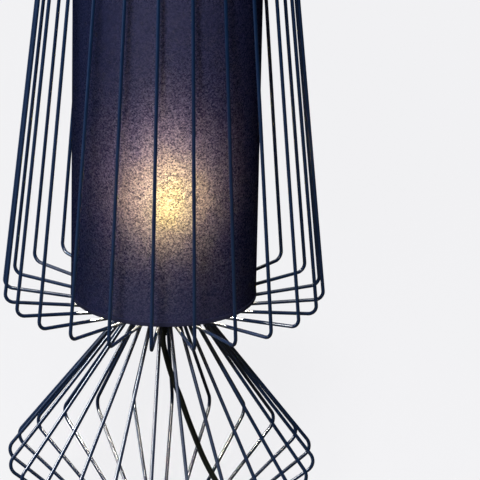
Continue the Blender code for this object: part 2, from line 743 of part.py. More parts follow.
def make_plug(tail, black, brass):
    """Flat two-pin plug with a ribbed neck, lying on the table with its pins away from the coil."""
    axis = anchor("plug_place", tail)
    sections = [rounded_section(3.6 * MM, 3.6 * MM, 0, 2)]
    rib_count = 4
    for i in range(rib_count):
        start = PLUG_NECK * (i + 0.3) / rib_count
        size = (4.2 + 0.25 * i) * MM
        sections.append(rounded_section(size, size, start, 2))
        sections.append(rounded_section(size, size, start + 1.6 * MM, 2))
        sections.append(rounded_section(size - 0.6 * MM, size - 0.6 * MM, start + 2.2 * MM, 2))
    share_and_half_size = [
        (0.0, 7.0, 6.0),
        (0.12, 11.5, 6.7),
        (0.35, 13.6, 6.8),
        (0.6, 14.6, 6.8),
        (0.8, 16.8, 6.8),
        (1.0, 17.6, 6.8),
    ]
    body_start = PLUG_NECK + MM
    for share, half_width, half_height in share_and_half_size:
        along = body_start + (PLUG_LENGTH - body_start) * share
        sections.append(rounded_section(half_width * MM, half_height * MM, along, 3))
    settle(loft("plug_body", sections, black, axis))
    for name, side in (("plug_pin_left", -1), ("plug_pin_right", 1)):
        root = Vector((side * PLUG_PIN_SPACING / 2, PLUG_LENGTH + GAP, 0))
        tip = root + Vector((0, PLUG_PIN_LENGTH, 0))
        tube(name, [root, tip], PLUG_PIN_RADIUS, brass, 2, parent=axis)


def main():
    """Build every piece, the wires first, because the hub and what it carries are set against them."""
    clear_scene()
    paint = finish("navy_paint", 0.008, 0.026, 0.085, 0.35)
    fabric = finish("navy_fabric", 0.018, 0.018, 0.055, 0.9)
    felt = finish("felt", 0.02, 0.02, 0.02, 0.95)
    steel = finish("white_wire", 0.7, 0.7, 0.68, 0.4)
    zinc = finish("zinc", 0.6, 0.6, 0.6, 0.35, 1.0)
    brass = finish("brass", 0.7, 0.5, 0.2, 0.3, 1.0)
    cap_metal = finish("cap_metal", 0.75, 0.75, 0.75, 0.3, 1.0)
    opal = finish("opal_glass", 0.9, 0.85, 0.7, 0.3)
    holder_black = finish("holder_plastic", 0.015, 0.015, 0.015, 0.35)
    cord_black = finish("cord_plastic", 0.012, 0.012, 0.008, 0.5)

    path = rib_path()
    waist = min(path, key=lambda point: point.x)
    hub_radius = waist.x - WIRE_RADIUS - GAP
    hub_top = waist.y + HUB_THICKNESS / 2
    make_ribs(path, paint)
    make_frame(hub_radius, hub_top, paint, felt)
    axis = anchor("holder_axis", (0, 0, hub_top))
    make_nipple(axis, zinc, cord_black)
    make_holder(axis, holder_black, brass)
    make_shade(hub_top, fabric, steel)
    make_bulb(axis, opal, cap_metal)
    make_cord(hub_top - HUB_THICKNESS - GAP - GRIP_LENGTH - GAP, cord_black)
    make_switch(cord_black)
    make_plug(plug_tail(coil_points()), cord_black, brass)


main()
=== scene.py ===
"""Looks of the wire-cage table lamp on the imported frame: wires, cloth shade, cords, fittings and finishes.

Metres, +Z up, in the frame's own axes, with the lamp on the floor at height 0. The profiles of turned pieces
and the sections of moulded ones are in millimetres.
"""

import json
from math import copysign, cos, inf, pi, radians, sin, sqrt, tan, tau

import bmesh
import bpy
from mathutils import Matrix, Vector, noise

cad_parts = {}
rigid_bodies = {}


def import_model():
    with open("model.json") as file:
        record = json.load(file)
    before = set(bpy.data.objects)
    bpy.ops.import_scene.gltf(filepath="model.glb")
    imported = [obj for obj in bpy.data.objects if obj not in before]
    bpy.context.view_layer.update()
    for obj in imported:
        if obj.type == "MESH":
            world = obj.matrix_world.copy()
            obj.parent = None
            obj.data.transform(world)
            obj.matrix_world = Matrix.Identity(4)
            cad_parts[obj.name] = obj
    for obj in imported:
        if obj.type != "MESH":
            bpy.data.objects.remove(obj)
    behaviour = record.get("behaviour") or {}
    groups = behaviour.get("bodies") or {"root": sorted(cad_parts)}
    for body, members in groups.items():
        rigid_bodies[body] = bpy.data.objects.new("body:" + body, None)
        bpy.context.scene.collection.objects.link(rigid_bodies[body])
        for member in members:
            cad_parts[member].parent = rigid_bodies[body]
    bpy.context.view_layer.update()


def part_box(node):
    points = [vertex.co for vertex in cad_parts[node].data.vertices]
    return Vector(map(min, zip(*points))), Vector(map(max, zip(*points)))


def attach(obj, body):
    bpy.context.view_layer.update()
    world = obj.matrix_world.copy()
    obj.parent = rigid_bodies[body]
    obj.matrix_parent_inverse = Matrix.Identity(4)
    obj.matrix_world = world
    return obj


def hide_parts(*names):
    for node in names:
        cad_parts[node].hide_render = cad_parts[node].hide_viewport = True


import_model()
MM = 0.001
GAP_MM = 0.3
GAP = GAP_MM * MM

# Camera, at the photograph's place and angle
CAMERA_PLACE = Vector((-0.19406, -3.13572, 1.43260))
CAMERA_YAW = radians(4.826)
CAMERA_PITCH = radians(19.947)
CAMERA_ROLL = radians(1.265)
CAMERA_LENS = 269.4
CAMERA_SENSOR = 36.0

# Lights: azimuth from -Y towards +X and elevation in degrees, distance and size in metres, watts, colour
LAMP_MIDDLE = Vector((0, 0, 0.33))
LIGHTS = {
    "key": (-11.5, 58, 3.2, 0.4, 96, (1, 1, 1)),
    "near": (-11.5, 21, 3.2, 0.34, 38, (1, 1, 1)),
    "side": (-82, 24, 2.2, 0.7, 46, (1, 1, 1)),
    "rim": (-98, 22, 2.2, 0.7, 9, (0.68, 0.92, 1.25)),
    "top": (176, 48, 3.0, 3.0, 24, (1, 1, 1)),
}
SKY_COLOUR = (0.010, 0.013, 0.020)

# Floor and backdrop
FLOOR_RADIUS = 30.0
FLOOR_HEIGHT = -0.1 * MM
BACKGROUND = (0.887, 0.887, 0.905)
FLOOR_COLOUR = (0.895, 0.893, 0.910)
FAR_FLOOR_COLOUR = (0.942, 0.942, 0.960)
FLOOR_NEAR = 1.0
FLOOR_FAR = 5.0
FLOOR_GLOW = 0.94
FLOOR_BOUNCE = 0.03

# Bulb: its glow, its gleam on the wires, and its core, whose sizes are in millimetres
BULB_GLOW = 13.4
BULB_TINT = (1.0, 0.69, 0.91)
BULB_CLEAR = 0.8
NECK_GLOW = 0.25
GLEAM_POWER = 30.0
GLEAM_RADIUS = 20 * MM
GLEAM_TINT = (1.0, 0.93, 0.80)
CORE_GLOW = 25.0
CORE_TINT = (1.0, 0.90, 0.10)
CORE_RADIUS = 11
CORE_HEIGHT = 44
CORE_DROP = 5
CORE_LEAN = 0.10
BULB_LOW, BULB_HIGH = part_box("bulb_glass")
BULB_MIDDLE = BULB_HIGH.z - (BULB_HIGH.x - BULB_LOW.x) / 2

# Shade cloth: yarn colours, sizes of its threads, slubs and specks, lumps per metre along and across a yarn,
# and how it shines and passes light
CLOTH_DARK = (0.0024, 0.0032, 0.014)
CLOTH_LIGHT = (0.0095, 0.0118, 0.052)
CLOTH_THREAD = 0.62 * MM
CLOTH_SLUB = 1.25 * MM
CLOTH_SPECK = 0.9 * MM
CLOTH_BUMP = 0.1 * MM
CLOTH_YARN_LUMPS = (420, 1250)
CLOTH_YARN_SHARE = 0.2
CLOTH_SPECK_SHARE = 0.3
CLOTH_SLACK_RANGE = (0.25, 0.75)
CLOTH_HEM = 55 * MM
CLOTH_HEM_OPEN = 0.1
CLOTH_OPEN = 0.38
CLOTH_OPEN_POWER = 1.4
CLOTH_BEND = 1.45
CLOTH_SPREAD = 0.83
CLOTH_STRAIGHT_TINT = (1.0, 0.86, 0.0)
CLOTH_STRAIGHT_ROUGHNESS = 0.40
CLOTH_SOFT_TINT = (0.66, 0.60, 0.88)
CLOTH_SOFT_ROUGHNESS = 0.95
CLOTH_BACK_ROUGHNESS = 0.42
CLOTH_SATIN = 0.110
CLOTH_SATIN_DARK = (0.32, 0.32, 0.56)
CLOTH_SATIN_LIGHT = (0.58, 0.58, 0.98)
CLOTH_SATIN_ROUGHNESS = 0.65

# Mottled finishes: name, slot, dark and light colour, lumps per metre, roughness range, grains per metre,
# grain depth in millimetres, metallic, specular level, coat
COAT_ROUGHNESS = 0.08
COAT_IOR = 1.6
MOTTLED = {
    "paint": ("navy_powder_coat", "navy_paint", (0.0024, 0.0145, 0.050), (0.0036, 0.0190, 0.062),
        70, (0.30, 0.38), 1700, 0.008, 0, 0.5, 1),
    "felt": ("black_felt", "felt", (0.008, 0.008, 0.009), (0.022, 0.022, 0.024),
        900, (0.9, 1.0), 2600, 0.3, 0, 0.1, 0),
    "white_wire": ("white_coated_wire", "white_wire", (0.60, 0.59, 0.56), (0.72, 0.71, 0.68),
        90, (0.32, 0.45), 1500, 0.02, 0, 0.5, 0),
    "zinc": ("zinc_plate", "zinc", (0.48, 0.49, 0.50), (0.66, 0.66, 0.66),
        300, (0.24, 0.42), 3000, 0.01, 1, 0.5, 0),
    "brass": ("brass", "brass", (0.62, 0.42, 0.15), (0.78, 0.57, 0.25),
        240, (0.18, 0.34), 2500, 0.01, 1, 0.5, 0),
    "nickel": ("nickel_cap", "cap_metal", (0.60, 0.59, 0.56), (0.76, 0.75, 0.72),
        260, (0.2, 0.34), 2500, 0.01, 1, 0.5, 0),
    "black_plastic": ("holder_moulding", "holder_plastic", (0.010, 0.010, 0.010), (0.020, 0.019, 0.018),
        120, (0.22, 0.34), 1200, 0.015, 0, 0.5, 0),
    "cord": ("cord_sheath", "cord_plastic", (0.0065, 0.0072, 0.0032), (0.0105, 0.0115, 0.0060),
        160, (0.42, 0.55), 1400, 0.04, 0, 0.35, 0),
    "fitting": ("fitting_moulding", "cord_plastic", (0.0085, 0.0088, 0.0075), (0.0135, 0.0135, 0.0120),
        200, (0.38, 0.52), 2600, 0.04, 0, 0.4, 0),
    "tape": ("shade_binding", "shade_fabric", (0.012, 0.013, 0.034), (0.026, 0.026, 0.060),
        1500, (0.8, 0.95), 1700, 0.15, 0, 0.2, 0),
}

# Ribs, repeated from the solids, with heights measured from the cage's lower corner. WIRE_DOME rounds a
# wire's end in rings: how far past the end and how wide, as shares of the wire's radius
RIB_COUNT = 24
RIB_STEP = tau / RIB_COUNT
WIRE_RADIUS = 1.7 * MM
CAGE_RADIUS = 150 * MM
CAGE_HEIGHT = 380 * MM
CAGE_LEAN = radians(6.16)
WAIST_RADIUS = 31.3 * MM
FOOT_RADIUS = 149 * MM
FOOT_DROP = 167 * MM
FOOT_UNDERCUT = radians(38.8)
TOE_RADIUS = 75 * MM
TOE_LENGTH = 15 * MM
TOP_HOOK_END = 91 * MM
TOP_BEND = 9 * MM
CAGE_BEND = 8.5 * MM
WAIST_BEND = 4.5 * MM
FOOT_BEND = 12 * MM
TOE_BEND = 8 * MM
BEND_STEP = radians(7)
WIRE_DOME = [(0.36, 0.85), (0.62, 0.5)]
TOE_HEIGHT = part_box("foot_plate")[1].z + GAP + WIRE_RADIUS
CORNER_HEIGHT = TOE_HEIGHT + (FOOT_RADIUS - TOE_RADIUS) * tan(FOOT_UNDERCUT) + FOOT_DROP
CAGE_TOP = CORNER_HEIGHT + CAGE_HEIGHT

# Cord, repeated from the solids
CORD_RADIUS = 2.7 * MM
CORD_STEP = 3 * MM
CORD_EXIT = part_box("cord_grip")[0].z - GAP
SWITCH_PLACE = Vector((158 * MM, -75 * MM, 8.2 * MM))
SWITCH_LENGTH = 62 * MM
COIL_INNER_RADIUS = 23.3 * MM
COIL_PITCH = 5.9 * MM
COIL_TURNS = 6.5
COIL_HEIGHT = 4.4 * MM
COIL_FORWARD = 156 * MM
COIL_STEPS = 48
TAIL_LENGTH = 20 * MM
PLUG_HEIGHT = 7.2 * MM
COIL_OUTER_RADIUS = COIL_INNER_RADIUS + COIL_PITCH * COIL_TURNS / 2
COIL_CENTRE = Vector((SWITCH_PLACE.x - COIL_OUTER_RADIUS, -COIL_FORWARD, COIL_HEIGHT))


# Camera, lights and floor

def add_to_scene(name, data):
    """An object for some data, in the scene."""
    obj = bpy.data.objects.new(name, data)
    bpy.context.scene.collection.objects.link(obj)
    return obj


def make_camera():
    """A long lens with no shift, turned and rolled as the photograph's."""
    data = bpy.data.cameras.new("camera")
    data.lens = CAMERA_LENS
    data.sensor_width = CAMERA_SENSOR
    data.clip_end = 100.0
    camera = add_to_scene("camera", data)
    turn = Matrix.Rotation(-CAMERA_YAW, 4, "Z")
    tilt = Matrix.Rotation(pi / 2 - CAMERA_PITCH, 4, "X")
    roll = Matrix.Rotation(CAMERA_ROLL, 4, "Z")
    camera.matrix_world = Matrix.Translation(CAMERA_PLACE) @ turn @ tilt @ roll
    bpy.context.scene.camera = camera


def make_light(name, azimuth, elevation, distance, size, power, colour):
    """A round soft light aimed at the lamp's middle."""
    data = bpy.data.lights.new(name, "AREA")
    data.shape = "DISK"
    data.size = size
    data.energy = power
    data.color = colour
    light = add_to_scene(name, data)
    a = radians(azimuth)
    e = radians(elevation)
    away = Vector((sin(a) * cos(e), -cos(a) * cos(e), sin(e)))
    light.location = LAMP_MIDDLE + away * distance
    light.rotation_mode = "QUATERNION"
    light.rotation_quaternion = away.to_track_quat("Z", "Y")
    light.visible_camera = False
    return light


def make_bulb_light():
    """The bulb's own light, for its gleam on the wires past the shade's edges."""
    data = bpy.data.lights.new("bulb_light", "POINT")
    data.energy = GLEAM_POWER
    data.color = GLEAM_TINT
    data.shadow_soft_size = GLEAM_RADIUS
    light = add_to_scene("bulb_light", data)
    light.location = (0, 0, BULB_MIDDLE)
    light.visible_camera = False
    light.visible_diffuse = False
    return light


def make_world():
    """Weak even light from all round."""
    world = bpy.data.worlds.new("studio")
    bpy.context.scene.world = world
    world.use_nodes = True
    world.node_tree.nodes["Background"].inputs["Color"].default_value = (*SKY_COLOUR, 1)


def stage_piece(name, shape):
    """Put a bmesh in the scene as a piece of the studio; gives its nodes and the piece."""
    material = bpy.data.materials.new(name)
    material.use_nodes = True
    piece = add_to_scene(name, mesh_of(name, shape))
    piece.data.materials.append(material)
    return material.node_tree, piece


def add_seen(tree):
    """1 for rays that see the background straight or by glossy surfaces or glass, 0 for light."""
    path = add(tree, "LightPath").outputs
    mirrored = add_math(tree, "MAXIMUM", path["Is Camera Ray"], path["Is Glossy Ray"])
    return add_math(tree, "MAXIMUM", mirrored, path["Is Transmission Ray"])


def make_floor():
    """A wide floor, pale where it is seen, with a faint shadow and little light thrown back."""
    shape = bmesh.new()
    bmesh.ops.create_circle(shape, cap_ends=True, segments=96, radius=FLOOR_RADIUS)
    tree, floor = stage_piece("floor", shape)
    floor.location.z = FLOOR_HEIGHT
    seen = add_seen(tree)
    paper = add(tree, "BsdfDiffuse", {"Color": add_blend(tree, seen, [FLOOR_BOUNCE] * 3, BACKGROUND)})
    reach = add(tree, "VectorMath", {0: own_axes(tree)}, operation="LENGTH").outputs["Value"]
    away = add_range(tree, reach, 0, 1, FLOOR_NEAR, FLOOR_FAR)
    glow = add(tree, "Emission", {"Color": add_blend(tree, away, FLOOR_COLOUR, FAR_FLOOR_COLOUR)})
    share = add_math(tree, "MULTIPLY", seen, FLOOR_GLOW)
    show(tree, mix_shaders(tree, share, paper.outputs[0], glow.outputs[0]))
    return floor


def make_backdrop():
    """A pale dome over the floor's edge, there only where it is seen, so that light passes it."""
    shape = bmesh.new()
    bmesh.ops.create_uvsphere(shape, u_segments=64, v_segments=32, radius=FLOOR_RADIUS)
    below = [vertex for vertex in shape.verts if vertex.co.z < -0.01]
    bmesh.ops.delete(shape, geom=below, context="VERTS")
    tree, dome = stage_piece("backdrop", shape)
    clear = add(tree, "BsdfTransparent")
    glow = add(tree, "Emission", {"Color": BACKGROUND})
    show(tree, mix_shaders(tree, add_seen(tree), clear.outputs[0], glow.outputs[0]))
    return dome


def light_only(name, sources, finishes, has=True):
    """Keep some sources' light to the pieces that have, or else haven't, one of the finishes."""
    lit = bpy.data.collections.new(name)
    for piece in bpy.context.scene.objects:
        if piece.type in ("MESH", "CURVE"):
            if any(FINISHES[finish] in list(piece.data.materials) for finish in finishes) == has:
                lit.objects.link(piece)
    for source in sources:
        source.light_linking.receiver_collection = lit


# Shader nodes: each helper but the first two and show gives an output socket

def feed(tree, node, inputs):
    """Give a node's inputs, by name or place, their numbers, colours or sockets."""
    for key, value in inputs.items():
        socket = node.inputs[key]
        if isinstance(value, bpy.types.NodeSocket):
            tree.links.new(value, socket)
        else:
            socket.default_value = (*value, 1) if socket.type == "RGBA" else value


def add(tree, kind, inputs=None, **settings):
    """A new shader node with some settings and inputs."""
    node = tree.nodes.new("ShaderNode" + kind)
    for name, value in settings.items():
        setattr(node, name, value)
    feed(tree, node, inputs or {})
    return node


def show(tree, surface):
    """Make a shader the material's surface."""
    tree.links.new(surface, tree.nodes["Material Output"].inputs["Surface"])


def own_axes(tree):
    """The piece's own metre coordinates."""
    return add(tree, "TexCoord").outputs["Object"]


def add_math(tree, operation, first, second=0.0):
    """An operation on sockets or numbers."""
    return add(tree, "Math", {0: first, 1: second}, operation=operation).outputs[0]


def add_noise(tree, vector, scale, detail=2.0, stretch=None):
    """A noise from 0 to 1, in lumps per metre; stretch scales each axis first."""
    if stretch:
        vector = add(tree, "Mapping", {"Vector": vector, "Scale": stretch}).outputs[0]
    return add(tree, "TexNoise", {"Vector": vector, "Scale": scale, "Detail": detail}).outputs["Fac"]


def add_cells(tree, vector, size):
    """A random level from 0 to 1 for each cell of a flat map, by cell size."""
    cells = add(tree, "TexVoronoi", {"Vector": vector, "Scale": 1 / size}, voronoi_dimensions="2D")
    return add(tree, "SeparateColor", {0: cells.outputs["Color"]}).outputs[0]


def add_range(tree, value, low, high, start=0.3, end=0.7):
    """A value mapped from start..end to low..high, clamped."""
    inputs = {"Value": value, "From Min": start, "From Max": end, "To Min": low, "To Max": high}
    return add(tree, "MapRange", inputs).outputs[0]


def add_blend(tree, share, first, second):
    """Two colours blended by a socket from 0 to 1."""
    return add(tree, "Mix", {"Factor": share, "A": first, "B": second}, data_type="RGBA").outputs["Result"]


def add_bump(tree, height, depth, strength=1.0):
    """A normal from a bump of a depth in metres."""
    return add(tree, "Bump", {"Strength": strength, "Distance": depth, "Height": height}).outputs[0]


def mix_shaders(tree, share, first, second):
    """Two shaders mixed by a number or a socket."""
    return add(tree, "MixShader", {0: share, 1: first, 2: second}).outputs[0]


# Finishes

def new_finish(name, slot):
    """A material that remembers its slot in the record; gives it, its nodes and its shader."""
    material = bpy.data.materials.new(name)
    material.use_nodes = True
    material["slot"] = slot
    return material, material.node_tree, material.node_tree.nodes["Principled BSDF"]


def mottled(name, slot, dark, light, lumps, roughness, grain, depth, metallic, shine, coat):
    """A finish with soft colour lumps, uneven gloss and a fine surface grain."""
    material, tree, shader = new_finish(name, slot)
    axes = own_axes(tree)
    lump = add_noise(tree, axes, lumps, 3.0)
    feed(tree, shader, {
        "Base Color": add_blend(tree, add_range(tree, lump, 0, 1), dark, light),
        "Roughness": add_range(tree, lump, *roughness),
        "Normal": add_bump(tree, add_noise(tree, axes, grain), depth * MM),
        "Metallic": metallic,
        "Specular IOR Level": shine,
        "Coat Weight": coat,
        "Coat Roughness": COAT_ROUGHNESS,
        "Coat IOR": COAT_IOR,
    })
    return material


def cloth_pattern(tree):
    """A plain weave on the flat map: thread height and yarn slack, 0 to 1, and metres up the cloth."""
    flat = add(tree, "UVMap", uv_map="flat").outputs[0]
    axes = add(tree, "SeparateXYZ", {0: flat}).outputs
    waves = []
    for axis in ("X", "Y"):
        turns = add_math(tree, "MULTIPLY", axes[axis], pi / CLOTH_THREAD)
        waves.append(add_math(tree, "SINE", turns))
    over = add_math(tree, "GREATER_THAN", add_math(tree, "MULTIPLY", *waves), 0.0)
    under = add_math(tree, "SUBTRACT", 1.0, over)
    warp = add_math(tree, "MULTIPLY", add_math(tree, "ABSOLUTE", waves[0]), over)
    weft = add_math(tree, "MULTIPLY", add_math(tree, "ABSOLUTE", waves[1]), under)
    height = add_math(tree, "ADD", warp, weft)
    weft_lumps = add_noise(tree, flat, 1.0, 1.0, (*CLOTH_YARN_LUMPS, 1))
    warp_lumps = add_noise(tree, flat, 1.0, 1.0, (*CLOTH_YARN_LUMPS[::-1], 1))
    yarn = add_math(tree, "ADD", weft_lumps, warp_lumps)
    speck = add_math(tree, "ADD", add_cells(tree, flat, CLOTH_SLUB), add_cells(tree, flat, CLOTH_SPECK))
    speck_part = add_math(tree, "MULTIPLY", speck, CLOTH_SPECK_SHARE)
    yarn_part = add_math(tree, "MULTIPLY", yarn, CLOTH_YARN_SHARE)
    uneven = add_math(tree, "ADD", speck_part, yarn_part)
    return height, add_range(tree, uneven, 0, 1, *CLOTH_SLACK_RANGE), axes["Y"]


def cloth_yarn(tree, shader, height, slack):
    """Dull navy yarn with a soft satin shine."""
    relief = add_math(tree, "ADD", height, add_math(tree, "MULTIPLY", slack, 2.0))
    normal = add_bump(tree, relief, CLOTH_BUMP, 0.7)
    colour = add_blend(tree, slack, CLOTH_DARK, CLOTH_LIGHT)
    feed(tree, shader, {"Base Color": colour, "Normal": normal, "Roughness": 0.9, "Specular IOR Level": 0.0})
    sheen = add_blend(tree, slack, CLOTH_SATIN_DARK, CLOTH_SATIN_LIGHT)
    satin = {"Color": sheen, "Normal": normal, "Roughness": CLOTH_SATIN_ROUGHNESS}
    shine = add(tree, "BsdfAnisotropic", satin, distribution="BECKMANN")
    return mix_shaders(tree, CLOTH_SATIN, shader.outputs[0], shine.outputs[0])


def add_spread(tree, tint, roughness):
    """Light that passes the cloth and spreads round its straight way."""
    inputs = {"Color": tint, "Roughness": roughness, "IOR": CLOTH_BEND}
    return add(tree, "BsdfRefraction", inputs, distribution="BECKMANN").outputs[0]


def shade_cloth_finish():
    """The cloth's outer face: navy yarn, with a little light that passes between yarns."""
    material, tree, shader = new_finish("shade_cloth", "shade_fabric")
    height, slack, level = cloth_pattern(tree)
    yarn = cloth_yarn(tree, shader, height, slack)
    straight = add_spread(tree, CLOTH_STRAIGHT_TINT, CLOTH_STRAIGHT_ROUGHNESS)
    soft = add_spread(tree, CLOTH_SOFT_TINT, CLOTH_SOFT_ROUGHNESS)
    passing = mix_shaders(tree, CLOTH_SPREAD, straight, soft)
    hem_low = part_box("shade_drum")[0].z
    single = add_range(tree, level, CLOTH_HEM_OPEN, 1.0, hem_low, hem_low + CLOTH_HEM)
    gaps = add_math(tree, "POWER", slack, CLOTH_OPEN_POWER)
    share = add_math(tree, "MULTIPLY", add_math(tree, "MULTIPLY", gaps, CLOTH_OPEN), single)
    show(tree, mix_shaders(tree, share, yarn, passing))
    return material


def shade_back_finish():
    """The cloth's inner face: navy yarn from inside; light in the cloth leaves here."""
    material, tree, shader = new_finish("shade_back", "shade_fabric")
    height, slack, _ = cloth_pattern(tree)
    yarn = cloth_yarn(tree, shader, height, slack)
    side = add(tree, "NewGeometry").outputs["Backfacing"]
    show(tree, mix_shaders(tree, side, yarn, add_spread(tree, (1, 1, 1), CLOTH_BACK_ROUGHNESS)))
    return material


def lit_glass_finish():
    """Frosted glass that glows, dimmer towards its neck, and lets its bright core show."""
    material, tree, shader = new_finish("lit_frosted_glass", "opal_glass")
    height = add(tree, "SeparateXYZ", {0: own_axes(tree)}).outputs["Z"]
    level = add_range(tree, height, NECK_GLOW, 1.0, BULB_LOW.z, BULB_MIDDLE)
    feed(tree, shader, {
        "Base Color": (0.9, 0.86, 0.76),
        "Roughness": 0.3,
        "Emission Color": BULB_TINT,
        "Emission Strength": add_math(tree, "MULTIPLY", level, BULB_GLOW),
    })
    clear = add(tree, "BsdfTransparent").outputs[0]
    show(tree, mix_shaders(tree, BULB_CLEAR, shader.outputs[0], clear))
    return material


def lit_core_finish():
    """The bulb's bright core, with hotter and cooler bands along it."""
    material, tree, shader = new_finish("lit_core", "opal_glass")
    band = add_noise(tree, own_axes(tree), 160.0, 1.0, (0.2, 0.2, 1.0))
    feed(tree, shader, {
        "Base Color": (0.9, 0.8, 0.6),
        "Emission Color": CORE_TINT,
        "Emission Strength": add_range(tree, band, 0.7 * CORE_GLOW, 1.3 * CORE_GLOW),
    })
    return material


def make_finishes():
    """Every finish by name."""
    finishes = {key: mottled(*row) for key, row in MOTTLED.items()}
    finishes["cloth"] = shade_cloth_finish()
    finishes["cloth_back"] = shade_back_finish()
    finishes["glass"] = lit_glass_finish()
    finishes["core"] = lit_core_finish()
    return finishes


FINISHES = make_finishes()


# Shapes

def box_mm(node):
    """A node's lowest and highest corners at rest, in millimetres."""
    low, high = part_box(node)
    return low / MM, high / MM


def around(radius, angle, height):
    """A point round the Z axis."""
    return Vector((radius * cos(angle), radius * sin(angle), height))


def ease(t):
    """0 to 1 with a soft start and end."""
    return t * t * (3 - 2 * t)


def rooted(value, power):
    """A power of a number's size, with its sign kept."""
    return copysign(abs(value) ** power, value)


def mesh_of(name, shape):
    """A mesh from a bmesh, which is used up."""
    mesh = bpy.data.meshes.new(name)
    shape.to_mesh(mesh)
    shape.free()
    return mesh


def skin(name, loops, joined=False, sharp=35):
    """A closed mesh over loops of points, with its end loops filled or joined; a one-point loop is a tip.

    Edges sharper than an angle in degrees stay sharp.
    """
    size = max(len(loop) for loop in loops)
    points = []
    rows = []
    for loop in loops:
        rows.append([len(points) + i % len(loop) for i in range(size)])
        points += [tuple(point) for point in loop]
    ends = [] if joined else [rows[0], rows[-1]]
    faces = [row for row in ends if row[0] != row[1]]
    for first, second in zip(rows, rows[1:] + rows[:1] if joined else rows[1:]):
        for i in range(size):
            corners = [second[i - 1], first[i - 1], first[i], second[i]]
            face = [corner for k, corner in enumerate(corners) if corner != corners[k - 1]]
            if len(face) > 2:
                faces.append(face)
    mesh = bpy.data.meshes.new(name)
    mesh.from_pydata(points, [], faces)
    mesh.validate()
    shape = bmesh.new()
    shape.from_mesh(mesh)
    bmesh.ops.recalc_face_normals(shape, faces=shape.faces)
    shape.to_mesh(mesh)
    shape.free()
    mesh.shade_smooth()
    mesh.set_sharp_from_angle(angle=radians(sharp))
    return mesh


def turned(name, profile, steps=96, shift=None, sharp=35):
    """Revolve (radius, height) points, down the outer side, in millimetres; shift adds to a radius."""
    loops = []
    for radius, height in reversed(profile):
        loop = []
        for i in range(steps if radius else 1):
            angle = tau * i / steps
            reach = radius + (shift(angle, radius, height) if shift and radius else 0)
            loop.append(around(reach, angle, height) * MM)
        loops.append(loop)
    return skin(name, loops, len(loops[0]) > 1, sharp)


def sweep(name, path, radius, sides=16, ring=False, twist_axis=Vector((0, 0, 1))):
    """A round wire along a path, with domed ends unless it is a ring."""
    loops = []
    across = None
    last = len(path) - 1
    for i, centre in enumerate(path):
        before = path[i - 1] if ring or i else path[0]
        after = path[(i + 1) % len(path)] if ring or i < last else path[-1]
        along = (after - before).normalized()
        if across is None:
            across = along.cross(twist_axis if abs(along.dot(twist_axis)) < 0.9 else Vector((0, 1, 0)))
        across = (across - along * across.dot(along)).normalized()
        upward = along.cross(across)
        rings = [(0.0, 1.0)]
        if not ring and i == 0:
            rings = [(-step, share) for step, share in WIRE_DOME[::-1]] + rings
        if not ring and i == last:
            rings += WIRE_DOME
        for step, share in rings:
            loop = []
            for k in range(sides):
                angle = tau * k / sides
                spoke = across * cos(angle) + upward * sin(angle)
                loop.append(centre + along * step * radius + spoke * radius * share)
            loops.append(loop)
    return skin(name, loops, ring, 50)


def section(along, half_width, half_height=None, squareness=2, count=40):
    """A loop across Y in millimetres, round, or nearer a box as its squareness grows."""
    loop = []
    for i in range(count):
        angle = tau * (i + 0.5) / count
        x = half_width * rooted(cos(angle), 2 / squareness)
        z = (half_height or half_width) * rooted(sin(angle), 2 / squareness)
        loop.append(Vector((x, along, z)))
    return loop


def loft(name, sections, place_at):
    """A closed skin over sections, from a place."""
    return skin(name, [[place_at + point * MM for point in loop] for loop in sections])


def put(name, data, finish, nodes="", body="lamp", turn=0.0):
    """Put a shape in the scene, riding on a body and standing for the nodes named."""
    obj = add_to_scene(name, data)
    obj.rotation_euler.z = turn
    if not data.materials:
        data.materials.append(FINISHES[finish])
    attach(obj, body)
    if nodes:
        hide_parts(*nodes.split())
    return obj


def lathe(name, profile, finish, nodes="", body="lamp", **shape):
    """Put a turned piece in the scene."""
    return put(name, turned(name, profile, **shape), finish, nodes, body)


def wire(name, path, radius, finish, nodes="", **shape):
    """Put a round wire in the scene."""
    return put(name, sweep(name, path, radius, **shape), finish, nodes)


def ring_path(radius, height, count=144):
    """Points of a level circle round the Z axis."""
    return [around(radius, tau * i / count, height) for i in range(count)]


def arc(centre, radius, start, end, steps=6):
    """Points of an arc in the (radius, height) plane, angles in degrees."""
    points = []
    for i in range(steps + 1):
        angle = radians(start + (end - start) * i / steps)
        points.append((centre[0] + radius * cos(angle), centre[1] + radius * sin(angle)))
    return points


def upright(radius, high, low, step=0.6):
    """Points straight down at one radius, close enough to carry a thread."""
    count = max(1, round((high - low) / step))
    return [(radius, high + (low - high) * i / count) for i in range(count + 1)]


def rounded_disc(bore, outer, low, high, edge, steps=6):
    """The profile of a disc with a bore and rounded rims."""
    top = arc((outer - edge, high - edge), edge, 90, 0, steps)
    bottom = arc((outer - edge, low + edge), edge, 0, -90, steps)
    return [(bore, high)] + top + bottom + [(bore, low)]


def thread(pitch, depth, low, high, least=0.0):
    """A shift that cuts a round thread between two heights, from a least radius out."""
    def shift(angle, radius, height):
        if radius < least or not low < height < high:
            return 0.0
        fade = min(1.0, (height - low) / pitch, (high - height) / pitch)
        return depth * fade * (0.5 - 0.5 * cos(tau * height / pitch - angle))
    return shift


def flutes(count, depth, least, top=inf):
    """A shift that cuts upright flutes, from a least radius out and up to a top."""
    def shift(angle, radius, height):
        if radius < least or height > top:
            return 0.0
        return -depth * (0.5 - 0.5 * cos(count * angle))
    return shift


